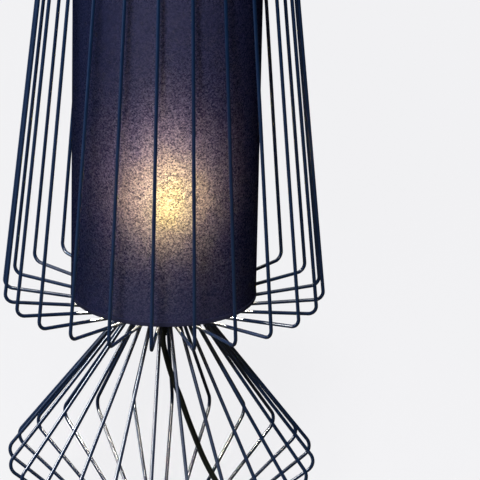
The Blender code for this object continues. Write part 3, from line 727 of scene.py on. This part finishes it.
def bend(before, corner, after, radius):
    """Points of a wire's round bend at a corner between two straight runs."""
    to_before = (before - corner).normalized()
    to_after = (after - corner).normalized()
    half = to_before.angle(to_after) / 2
    centre = corner + (to_before + to_after).normalized() * (radius / sin(half))
    start = corner + to_before * (radius / tan(half)) - centre
    turn = pi - 2 * half
    steps = max(2, round(turn / BEND_STEP))
    if start.cross(to_before) > 0:
        turn = -turn
    return [centre + Matrix.Rotation(turn * i / steps, 2) @ start for i in range(steps + 1)]


# Cords

def smooth_route(route, spacing):
    """Points at about even spacing on a smooth curve through a route."""
    ends = [2 * route[0] - route[1]] + route + [2 * route[-1] - route[-2]]
    points = []
    for a, b, c, d in zip(ends, ends[1:], ends[2:], ends[3:]):
        steps = max(1, round((c - b).length / spacing))
        for i in range(steps):
            t = i / steps
            curve = 2 * b + (c - a) * t + (2 * a - 5 * b + 4 * c - d) * t * t
            curve += (3 * b - a - 3 * c + d) * t ** 3
            points.append(curve / 2)
    return points + [route[-1]]


def drop_route():
    """The cord from its grip down inside the foot and over the plate's rim to the switch."""
    across_and_down = [
        (0.6, 187), (4.3, 171), (9.6, 153), (17.3, 133), (24.4, 112), (31.8, 92), (39.6, 72),
        (47.5, 55.5), (56, 40.5), (65.5, 27.5), (76.5, 18.4), (89, 11.6), (103, 6.2), (117, 3.4),
    ]
    on_table = [(133, -3.4, 3.2), (146.5, -11.8, 4.2), (155.3, -24, 6.6), (158, -35, 8)]
    route = [Vector((0, 0, CORD_EXIT))]
    route += [Vector((x * MM, 0, z * MM)) for x, z in across_and_down]
    route += [Vector(point) * MM for point in on_table]
    return route + [SWITCH_PLACE + Vector((0, SWITCH_LENGTH / 2 + GAP, 0))]


def coil_points():
    """The coil's centre line: in along the table, up at the innermost loop, out on top."""
    half = COIL_TURNS / 2
    count = round(COIL_TURNS * COIL_STEPS)
    climb = 0.25
    points = []
    for i in range(count + 1):
        turn = -half + COIL_TURNS * i / count
        radius = COIL_INNER_RADIUS + COIL_PITCH * abs(turn)
        lift = ease(min(1.0, max(0.0, (turn + climb) / (2 * climb))))
        angle = -tau * (turn + half)
        points.append(COIL_CENTRE + around(radius, angle, COIL_PITCH * lift))
    lead = Vector((0, 2 * CORD_RADIUS, 0))
    return [points[0] + lead] + points + [points[-1] + lead]


def plug_tail():
    """Where the cord enters the plug, straight on from the coil's end."""
    end = coil_points()[-1]
    return Vector((end.x, end.y + TAIL_LENGTH, PLUG_HEIGHT))


def cord_curve(name, points):
    """A round cord along the points, as one open curve."""
    curve = bpy.data.curves.new(name, "CURVE")
    curve.dimensions = "3D"
    curve.bevel_depth = CORD_RADIUS
    curve.bevel_resolution = 5
    curve.use_fill_caps = True
    spline = curve.splines.new("POLY")
    spline.points.add(len(points) - 1)
    for point, position in zip(spline.points, points):
        point.co = (*position, 1.0)
    spline.use_smooth = True
    return curve


def make_cords():
    """The cord from the grip to the switch, and on through its coil to the plug."""
    drop = smooth_route(drop_route(), CORD_STEP)
    first = put("cord_to_switch", cord_curve("cord_to_switch", drop), "cord", "cord_drop")
    level = Vector((0, CORD_RADIUS * 2, 0))
    coil = coil_points()
    leave = SWITCH_PLACE - Vector((0, SWITCH_LENGTH / 2 + GAP, 0))
    run = smooth_route([leave, leave - level, coil[0] + level, coil[0]], CORD_STEP)
    arrive = plug_tail() - Vector((0, GAP, 0))
    tail = smooth_route([coil[-1], coil[-1] + level, arrive - level, arrive], CORD_STEP)
    whole = run + coil[1:-1] + tail
    second = put("cord_to_plug", cord_curve("cord_to_plug", whole), "cord", "cord_run cord_coil cord_tail")
    return (first, drop), (second, whole)


# Wire frame

def rib_path():
    """One rib's centre line as (radius, height) points, from its top hook down to its toe."""
    waist_drop = (CAGE_RADIUS - WAIST_RADIUS) * tan(CAGE_LEAN)
    top_radius = CAGE_RADIUS - CAGE_HEIGHT * tan(CAGE_LEAN)
    corners = [
        (Vector((top_radius, CAGE_TOP)), TOP_BEND),
        (Vector((CAGE_RADIUS, CORNER_HEIGHT)), CAGE_BEND),
        (Vector((WAIST_RADIUS, CORNER_HEIGHT - waist_drop)), WAIST_BEND),
        (Vector((FOOT_RADIUS, CORNER_HEIGHT - FOOT_DROP)), FOOT_BEND),
        (Vector((TOE_RADIUS, TOE_HEIGHT)), TOE_BEND),
    ]
    first = Vector((TOP_HOOK_END, CAGE_TOP))
    last = Vector((TOE_RADIUS - TOE_LENGTH, TOE_HEIGHT))
    stations = [first] + [corner for corner, _ in corners] + [last]
    path = [first]
    for i, (corner, radius) in enumerate(corners):
        path += bend(stations[i], corner, stations[i + 2], radius)
    return path + [last]


def make_ribs():
    """All ribs share one bent wire, turned to even angles round the axis."""
    path = [Vector((radius, 0, height)) for radius, height in rib_path()]
    mesh = sweep("rib_wire", path, WIRE_RADIUS, twist_axis=Vector((0, 1, 0)))
    for i in range(RIB_COUNT):
        number = f"{i + 1:02d}"
        put(f"rib_wire_{number}", mesh, "paint", f"rib_{number}", turn=RIB_STEP * (i + 0.5))


def weld_beads(name, radius, height, size):
    """One ring of small uneven weld beads, a bead at every rib, in millimetres."""
    shape = bmesh.new()
    for i in range(RIB_COUNT):
        made = bmesh.ops.create_icosphere(shape, subdivisions=3, radius=1.0)
        turn = Matrix.Rotation(RIB_STEP * (i + 0.5), 4, "Z")
        for vertex in made["verts"]:
            rough = 1 + 0.16 * noise.noise(vertex.co * 2.2 + Vector((i * 3.1, 0, 0)))
            local = Vector(a * b * rough for a, b in zip(vertex.co, size))
            vertex.co = turn @ (local + Vector((radius, 0, height))) * MM
    mesh = mesh_of(name, shape)
    mesh.shade_smooth()
    put(name, mesh, "paint")


def make_frame():
    """Top ring, hub, foot plate and felt, with the welds that hold the ribs on them."""
    low, high = box_mm("top_ring")
    thick = (high.z - low.z) / 2
    height = (low.z + high.z) / 2
    radius = TOP_HOOK_END / MM + 1
    path = ring_path(radius * MM, height * MM)
    wire("top_ring_wire", path, thick * MM, "paint", "top_ring", sides=20, ring=True)
    weld_beads("top_welds", radius + 0.6 * thick, height + 1.1 * thick, (2.6, 2.3, 1.3))

    low, high = box_mm("waist_hub")
    lathe("hub_disc", rounded_disc(5.3, high.x, low.z, high.z, 1.2), "paint", "waist_hub")
    weld_beads("hub_welds", high.x + 0.2, (low.z + high.z) / 2, (1.3, 2.3, 2.6))

    low, high = box_mm("foot_plate")
    edge = 1.5
    plate = [(0, high.z), (high.x * 0.5, high.z)]
    plate += arc((high.x - edge, high.z - edge), edge, 90, 0)
    plate += arc((high.x - edge / 2, low.z + edge / 2), edge / 2, 0, -90, 3)
    plate += [(high.x * 0.5, low.z), (0, low.z)]
    lathe("base_plate", plate, "paint", "foot_plate", steps=128)
    weld_beads("toe_welds", (TOE_RADIUS - 0.6 * TOE_LENGTH) / MM, high.z + 0.35, (3.4, 2.6, 1.0))

    low, high = box_mm("felt_pad")
    fuzz = 0.25

    def uneven(angle, radius, height):
        return fuzz * noise.noise(around(40, angle, 0.9 * height))

    felt = [(0, high.z), (high.x * 0.6, high.z)]
    felt += arc((high.x - 0.7, high.z - 0.7), 0.7, 90, 0, 4)
    felt += [(high.x, low.z + 0.3), (high.x - 0.4, low.z), (high.x * 0.6, low.z), (0, low.z)]
    lathe("felt_disc", felt, "felt", "felt_pad", steps=256, shift=uneven)


# Shade

def cloth_skin(name, loops, joined):
    """A skin of cloth with its outer and inner finishes; gives it and its empty flat map."""
    mesh = skin(name, loops, joined)
    mesh.materials.append(FINISHES["cloth"])
    mesh.materials.append(FINISHES["cloth_back"])
    return mesh, mesh.uv_layers.new(name="flat")


def shade_shell(low, high, outer, inner):
    """The cloth as a thin closed tube, with its flat size in metres as its map."""
    steps = 192
    rows_up = 40
    angles = [pi / 2 + tau * i / steps for i in range(steps)]
    heights = [low + (high - low) * k / rows_up for k in range(rows_up + 1)]
    walls = [(outer, height) for height in heights] + [(inner, height) for height in heights[::-1]]
    loops = [[around(radius, angle, height) for angle in angles] for radius, height in walls]
    mesh, flat = cloth_skin("shade_cloth", loops, True)
    first_inside = len(mesh.vertices) // 2
    for polygon in mesh.polygons:
        corners = [mesh.loops[k].vertex_index for k in polygon.loop_indices]
        columns = [corner % steps for corner in corners]
        wraps = max(columns) - min(columns) > 1
        polygon.material_index = 1 if min(corners) >= first_inside else 0
        for k, corner, column in zip(polygon.loop_indices, corners, columns):
            column += steps if wraps and column == 0 else 0
            flat.data[k].uv = (tau * outer * column / steps, mesh.vertices[corner].co.z)
    return mesh


def back_seam(low, high, outer):
    """The lap where the cloth's two ends are glued, down the back."""
    half_turn = radians(2.8)
    steps = 10
    rows_up = 32
    angles = [pi / 2 + half_turn * (2 * i / steps - 1) for i in range(steps + 1)]
    edge = [(outer + 0.35 * MM, angle) for angle in angles]
    edge += [(outer - 0.05 * MM, angle) for angle in angles[::-1]]
    loops = []
    for k in range(rows_up + 1):
        height = low + (high - low) * k / rows_up
        loops.append([around(reach, angle, height) for reach, angle in edge])
    mesh, flat = cloth_skin("shade_seam", loops, False)
    for polygon in mesh.polygons:
        polygon.material_index = 1 if polygon.normal.y < -0.5 else 0
        for k in polygon.loop_indices:
            corner = mesh.vertices[mesh.loops[k].vertex_index].co
            flat.data[k].uv = (corner.x, corner.z)
    return put("shade_seam", mesh, "cloth")


def make_shade():
    """Cloth drum with bound edges and a back seam, its upper ring and its carrier."""
    low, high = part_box("shade_drum")
    outer = high.x
    inner = outer - 0.8 * MM
    shell = shade_shell(low.z, high.z, outer, inner)
    cloth = put("shade_cloth", shell, "cloth", "shade_drum")
    depth = 3.2
    proud = 0.35
    middle = (outer + inner) / 2 / MM
    half = (outer - inner) / 2 / MM + proud
    for name, edge, into in (("shade_binding_top", high.z, -1), ("shade_binding_bottom", low.z, 1)):
        rim = edge / MM - 0.2 * into
        end = rim + depth * into
        lip = end + 0.2 * into
        profile = arc((middle, rim), half, 180, 180 + 180 * into, 10)
        profile += [(middle + half, end), (outer / MM, lip), (inner / MM, lip), (middle - half, end)]
        lathe(name, profile, "tape", steps=192)
    back_seam(low.z + depth * MM, high.z - depth * MM, outer)

    low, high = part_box("shade_top_ring")
    thick = (high.z - low.z) / 2
    radius = inner - GAP - thick
    path = ring_path(radius, (low.z + high.z) / 2)
    wire("shade_upper_ring", path, thick, "white_wire", "shade_top_ring", ring=True)
    make_carrier(radius, thick)


def make_carrier(ring_radius, thick):
    """Lower shade ring, three arms and the washer that the holder clamps."""
    ring_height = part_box("shade_carrier")[0].z + thick
    path = ring_path(ring_radius, ring_height)
    wire("carrier_ring", path, thick, "white_wire", "shade_carrier", ring=True)
    washer_top = box_mm("holder_ring")[0].z - GAP_MM
    washer_bottom = washer_top - 2
    lathe("carrier_washer", rounded_disc(20.4, 30, washer_bottom, washer_top, 0.4, 3), "white_wire")
    arm_height = (washer_bottom + washer_top) / 2 * MM
    inner_end = Vector((28 * MM, arm_height))
    shoulder = Vector((42 * MM, arm_height))
    knee = Vector((72 * MM, ring_height))
    outer_end = Vector((ring_radius, ring_height))
    arm_bend = 12 * MM
    path = [inner_end]
    path += bend(inner_end, shoulder, knee, arm_bend)
    path += bend(shoulder, knee, outer_end, arm_bend)
    path += [outer_end]
    for i in range(3):
        turn = Matrix.Rotation(radians(30) + tau * i / 3, 3, "Z")
        points = [turn @ Vector((radius, 0, height)) for radius, height in path]
        wire(f"carrier_arm_{i + 1}", points, thick * 0.98, "white_wire", sides=14)


# Lamp holder and bulb

def make_holder():
    """Threaded tube, nut, cord grip, holder mouldings, screw shell, contact and clamp ring."""
    low, high = box_mm("nipple")
    bore = 3.3
    cut = thread(1.0, -0.45, low.z, high.z, bore + 0.5)
    pipe = [(bore, high.z)] + upright(high.x, high.z, low.z, 0.25) + [(bore, low.z)]
    lathe("threaded_tube", pipe, "zinc", "nipple", steps=48, shift=cut)

    low, high = box_mm("nipple_nut")
    put("lock_nut", hex_nut("lock_nut", low.z, high.z, 15, 5.2), "zinc", "nipple_nut")

    low, high = box_mm("cord_grip")
    cord = CORD_RADIUS / MM
    end_radius = 3.7
    collar = high.x
    sleeve = collar - 1.5
    taper = high.z - 6.5
    grip = [(collar - 0.8, high.z), (collar, high.z - 0.8), (collar, high.z - 5), (sleeve, taper)]
    grooves = 4
    for i in range(grooves):
        top = taper + (low.z - taper) * (i + 0.45) / grooves
        bottom = taper + (low.z - taper) * (i + 0.85) / grooves
        radius = sleeve + (end_radius - sleeve) * (i + 0.65) / grooves
        grip += [(radius + 0.2, top), (radius - 0.6, top - 0.2)]
        grip += [(radius - 0.6, bottom), (radius - 0.05, bottom - 0.2)]
    grip += [(end_radius, low.z - 0.2), (cord, low.z - GAP_MM)]
    grip += [(cord, high.z - 13), (5.2, high.z - 12), (5.2, high.z)]
    lathe("cord_grip_sleeve", grip, "cord", "cord_grip", steps=48)

    low, high = box_mm("holder_cap")
    wide = high.x
    cap = [(wide - 2, high.z), (wide - 0.4, high.z), (wide, high.z - 0.4)]
    cap += arc((wide - 7, low.z + 7), 7, 0, -80, 8)
    cap += [(13, low.z), (5.2, low.z), (5.2, low.z + 3), (11, low.z + 3)]
    cap += [(wide - 4, low.z + 6), (wide - 2, low.z + 8.5)]
    grips = flutes(24, 0.25, wide - 0.2, high.z - 1)
    lathe("holder_cap_moulding", cap, "black_plastic", "holder_cap", steps=192, shift=grips)

    low, high = box_mm("holder_skirt")
    wide = 19.8
    flange = high.x
    top = box_mm("holder_ring")[0].z - 2 * GAP_MM - 2
    bore = 14.9
    cut = thread(2.0, -0.6, top + 0.5, high.z - 2, wide - 0.2)
    skirt = [(bore, high.z), (wide - 1.5, high.z)] + upright(wide, high.z - 1.5, top, 0.4)
    skirt += [(flange - 0.4, top), (flange, top - 0.4), (flange, top - 2.2), (flange - 0.4, top - 2.6)]
    skirt += [(wide, top - 4.5), (wide, low.z), (3, low.z), (3, low.z + 4), (bore, low.z + 4)]
    lathe("holder_skirt_moulding", skirt, "black_plastic", "holder_skirt", shift=cut)

    low, high = box_mm("socket_shell")
    wall = 0.35
    inside = high.x - 0.8
    roll = thread(3.6, 0.42, low.z + 1, high.z - 1)
    shell = upright(inside + wall, high.z, low.z) + upright(inside, high.z, low.z)[::-1]
    lathe("socket_screw_shell", shell, "brass", "socket_shell", steps=72, shift=roll)

    low, high = box_mm("centre_contact")
    tongue = [(0, high.z)] + arc((2.2, high.z - 0.8), 0.8, 90, 0, 4)
    tongue += [(3.0, low.z + 1.2), (4.5, low.z + 0.8), (4.5, low.z), (0, low.z)]
    lathe("contact_tongue", tongue, "brass", "centre_contact", steps=32)

    low, high = box_mm("holder_ring")
    wide = high.x
    bore = 20.1
    ring = [(bore, high.z), (wide - 1, high.z)] + upright(wide, high.z - 1, low.z + 1, 1)
    ring += [(wide - 1, low.z), (bore, low.z)]
    grips = flutes(18, 0.7, wide - 2)
    lathe("clamp_ring_moulding", ring, "black_plastic", "holder_ring", "clamp_ring", steps=216, shift=grips)


def hex_nut(name, low, high, across_flats, bore):
    """A hexagon nut with turned chamfers and a plain bore."""
    flat = across_flats / 2
    corner = across_flats / sqrt(3)
    chamfer = (corner - flat) * 0.6
    profile = [(bore, high), (flat, high), (corner, high - chamfer)]
    profile += [(corner, low + chamfer), (flat, low), (bore, low)]

    def shift(angle, radius, height):
        if radius <= bore:
            return 0.0
        outline = flat / cos(angle % (pi / 3) - pi / 6)
        return min(outline, flat if height in (high, low) else corner) - radius

    return turned(name, profile, 96, shift, 25)


def lean_over(mesh, foot):
    """Lean a mesh to +X above a height in millimetres."""
    for vertex in mesh.vertices:
        vertex.co.x += CORE_LEAN * max(0.0, vertex.co.z - foot * MM)
    return mesh


def make_bulb():
    """Frosted globe with its lit core and stem, screw cap, black insulator and contact."""
    low, high = box_mm("bulb_glass")
    radius = high.x
    centre = high.z - radius
    neck = 12.8
    globe_end = -38
    outline = [(0, high.z)] + arc((0, centre), radius, 90, globe_end, 24)[1:]
    start = Vector(outline[-1])
    end = Vector((neck, low.z))
    slope = Vector((sin(radians(globe_end)), -cos(radians(globe_end))))
    reach = (start - end).length
    for i in range(1, 13):
        t = i / 12
        along = start + slope * reach * t
        down = end + Vector((0, reach * 0.6 * (1 - t)))
        outline.append(tuple(along.lerp(down, ease(t))))
    outline.append((0, low.z))
    globe = lathe("bulb_globe", outline, "glass", "bulb_glass", "bulb", steps=64)
    globe.visible_shadow = False

    top = centre - CORE_DROP + CORE_HEIGHT / 2
    core = [(0, top)] + arc((0, top - CORE_RADIUS), CORE_RADIUS, 90, 0, 8)[1:]
    core += arc((0, top - CORE_HEIGHT + CORE_RADIUS), CORE_RADIUS, 0, -70, 8)
    stem, core_end = core[-1]
    core += [(0, core_end)]
    foot = low.z + 0.5
    heart = put("bulb_core", lean_over(turned("bulb_core", core, 48), foot), "core", "", "bulb")
    heart.visible_shadow = False
    shaft = [(0, core_end - 0.1), (stem, core_end - 0.1), (stem * 0.8, foot + 14)]
    shaft += [(neck * 0.4, foot + 6), (neck * 0.75, foot), (0, foot)]
    put("bulb_stem", lean_over(turned("bulb_stem", shaft, 48), foot), "white_wire", "", "bulb")

    low, high = box_mm("bulb_cap")
    wide = high.x
    button = low.z + 1
    bottom = low.z + 5
    cut = thread(3.6, -1.0, bottom + 1, high.z - 2, wide - 0.2)
    cap = [(0, high.z), (wide - 0.4, high.z)] + upright(wide, high.z - 0.4, bottom)
    cap += [(wide - 1.5, bottom - 0.8), (0, bottom - 0.8)]
    lathe("bulb_screw_cap", cap, "nickel", "bulb_cap", "bulb", steps=72, shift=cut)
    cone = [(0, bottom - 1), (wide - 2.2, bottom - 1), (5.4, button), (0, button)]
    lathe("bulb_insulator", cone, "black_plastic", "", "bulb", steps=48)
    dome = [(0, button - 0.05), (4.4, button - 0.05), (4.8, low.z + 0.6), (4.0, low.z + 0.1), (0, low.z)]
    lathe("bulb_contact", dome, "nickel", "", "bulb", steps=32)


# Switch, plug and cord tie

def apply_modifiers(obj):
    """Keep an object's evaluated mesh, shaded smooth between sharp edges."""
    bpy.context.view_layer.update()
    evaluated = obj.evaluated_get(bpy.context.evaluated_depsgraph_get())
    mesh = bpy.data.meshes.new_from_object(evaluated)
    mesh.shade_smooth()
    mesh.set_sharp_from_angle(angle=radians(32))
    obj.modifiers.clear()
    obj.data = mesh


def cut_block(obj, low, high):
    """Cut a block out of a switch shell, by two corners in millimetres from its place."""
    low = SWITCH_PLACE + Vector(low) * MM
    high = SWITCH_PLACE + Vector(high) * MM
    shape = bmesh.new()
    bmesh.ops.create_cube(shape, size=1.0)
    for vertex in shape.verts:
        vertex.co = (low + high) / 2 + Vector(a * b for a, b in zip(vertex.co, high - low))
    cutter = add_to_scene("cutter", mesh_of("cutter", shape))
    boolean = obj.modifiers.new("cut", "BOOLEAN")
    boolean.operation = "DIFFERENCE"
    boolean.object = cutter
    apply_modifiers(obj)
    bpy.data.objects.remove(cutter)


def soften(obj, width):
    """Round an object's sharp edges."""
    bevel = obj.modifiers.new("soften", "BEVEL")
    bevel.width = width
    bevel.segments = 2
    bevel.limit_method = "ANGLE"
    bevel.angle_limit = radians(40)
    bevel.harden_normals = False
    apply_modifiers(obj)


def make_switch():
    """Cord switch: two slotted shells with a fine parting line, and the rocker."""
    half = SWITCH_LENGTH / 2 / MM
    body = half - 6
    neck = 4.4
    sections = [section(-half - GAP_MM, neck), section(-body - 0.4, neck)]
    for i in range(33):
        t = i / 16 - 1
        swell = cos(t * pi / 2) ** 0.6 if abs(t) < 1 else 0.0
        sections.append(section(body * t, 6.5 + 6.5 * swell, 5.5 + 2.4 * swell, 4))
    sections += [section(body + 0.4, neck), section(half + GAP_MM, neck)]
    far = 40
    pieces = []
    for name, node, cut_low, cut_high, slot_floor in (
        ("switch_lower_shell", "switch_base", -GAP_MM / 2, far, -1.5),
        ("switch_upper_shell", "switch_cover", -far, GAP_MM / 2, -1.0),
    ):
        shell = put(name, loft(name, sections, SWITCH_PLACE), "fitting", node)
        cut_block(shell, (-far, -far, cut_low), (far, far, cut_high))
        cut_block(shell, (-6.2, -12.3, slot_floor), (6.2, 12.3, far))
        soften(shell, 0.35 * MM)
        pieces.append(shell)
    return pieces + [make_rocker()]


def make_rocker():
    """Rocker with a dished top and two rows of grip ridges, tilted to its on stop."""
    pivot = SWITCH_PLACE + Vector((0, 0, 3.8 * MM))
    tilt = Matrix.Rotation(radians(7), 3, "X")
    half_length = 11.5
    half_width = 5.8
    under = 3
    steps = 96
    outline = [(1.5 - half_length, 1 - under), (0, -under), (half_length - 1.5, 1 - under)]
    for i in range(steps + 1):
        t = 1 - 2 * i / steps
        ridge = 0.22 * max(0.0, sin(t * 46)) if 0.5 < abs(t) < 0.9 else 0.0
        outline.append((half_length * t, 3.3 + 1.3 * t * t + ridge))
    sides = (half_width, -half_width)
    loops = [[pivot + tilt @ Vector((x, y, z)) * MM for y, z in outline] for x in sides]
    return put("rocker_key", skin("rocker_key", loops, sharp=30), "fitting", "switch_rocker", "rocker")


def make_plug():
    """Flat two-pin plug: ribbed neck, waisted body and part-sleeved pins."""
    neck = 16
    length = 52
    sections = [section(-GAP_MM, 3.4), section(0.3, 3.6)]
    ribs = 4
    for i in range(ribs):
        start = neck * (i + 0.3) / ribs
        size = 4.2 + 0.25 * i
        for step, cut in ((-0.4, 0.6), (0.0, 0.1), (0.3, 0.0), (1.3, 0.0), (1.6, 0.1), (2.0, 0.6)):
            sections.append(section(start + step, size - cut))
    outline = [(0.0, 7.0, 6.0), (0.12, 11.5, 6.7), (0.35, 13.6, 6.8), (0.6, 14.6, 6.8), (0.8, 16.8, 6.8)]
    outline += [(0.97, 17.6, 6.8), (1.0, 17.0, 6.3)]
    body_start = neck + 1
    for i in range(31):
        share = i / 30
        k = next(k for k in range(1, len(outline)) if share <= outline[k][0])
        (a, wide_a, high_a), (b, wide_b, high_b) = outline[k - 1:k + 1]
        t = ease((share - a) / (b - a))
        half_width = wide_a + (wide_b - wide_a) * t
        half_height = high_a + (high_b - high_a) * t
        sections.append(section(body_start + (length - body_start) * share, half_width, half_height, 3))
    pieces = [put("plug_moulding", loft("plug_moulding", sections, plug_tail()), "fitting", "plug_body")]
    for node in ("plug_pin_left", "plug_pin_right"):
        low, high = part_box(node)
        middle = (low + high) / 2
        root = Vector((middle.x, low.y - GAP, middle.z))
        tip = Vector((middle.x, high.y - MM, middle.z))
        half_way = root.lerp(tip, 0.5)
        metal = [root, half_way, tip]
        sleeve = [root, root.lerp(tip, 0.25), half_way]
        pieces.append(wire(f"{node}_metal", metal, 1.95 * MM, "brass", node, sides=20))
        pieces.append(wire(f"{node}_sleeve", sleeve, 2.05 * MM, "fitting", sides=20))
    return pieces


def make_tie():
    """Soft strap wrapped round the coil's bundle, with its end lapped over its start."""
    half = COIL_TURNS / 2
    middle = COIL_CENTRE + Vector((0, -COIL_INNER_RADIUS - COIL_PITCH * half / 2, COIL_PITCH / 2))
    half_width = COIL_PITCH * half / 2 + CORD_RADIUS + 2 * GAP
    half_height = COIL_PITCH / 2 + CORD_RADIUS + 2 * GAP
    thick = 0.8 * MM
    width = 7 * MM
    start = radians(60)
    lap = 1.4
    lap_rise = 0.5
    steps = 120
    loops = []
    for i in range(steps + 1):
        wound = (tau + lap) * i / steps
        lift = max(0.0, min(1.0, (wound - tau + lap_rise) / lap_rise)) * thick * 1.1
        across = rooted(cos(start + wound), 1 / 3)
        up = rooted(sin(start + wound), 1 / 3)
        loop = []
        for side, out in ((-1, 0), (-1, thick), (1, thick), (1, 0)):
            y = (half_width + lift + out) * across
            z = (half_height + lift + out) * up
            loop.append(middle + Vector((side * width / 2, y, z)))
        loops.append(loop)
    return put("tie_strap", skin("tie_strap", loops, sharp=40), "felt", "cord_tie")


def main():
    """Build the scene, then say which pieces each linked light reaches."""
    bpy.context.scene.view_settings.view_transform = "Standard"
    make_camera()
    (first, drop), (second, whole) = make_cords()
    switch = make_switch()
    plug = make_plug()
    tie = make_tie()
    make_world()
    lights = {name: make_light(name, *row) for name, row in LIGHTS.items()}
    bulb_light = make_bulb_light()
    studio = [make_floor(), make_backdrop()]
    make_ribs()
    make_frame()
    make_shade()
    make_holder()
    make_bulb()
    light_only("painted", [bulb_light, lights["side"]], ["paint"])
    light_only("not_painted", [lights["near"]], ["paint"], False)
    light_only("shiny", studio, ["zinc", "brass", "nickel", "glass"])


main()
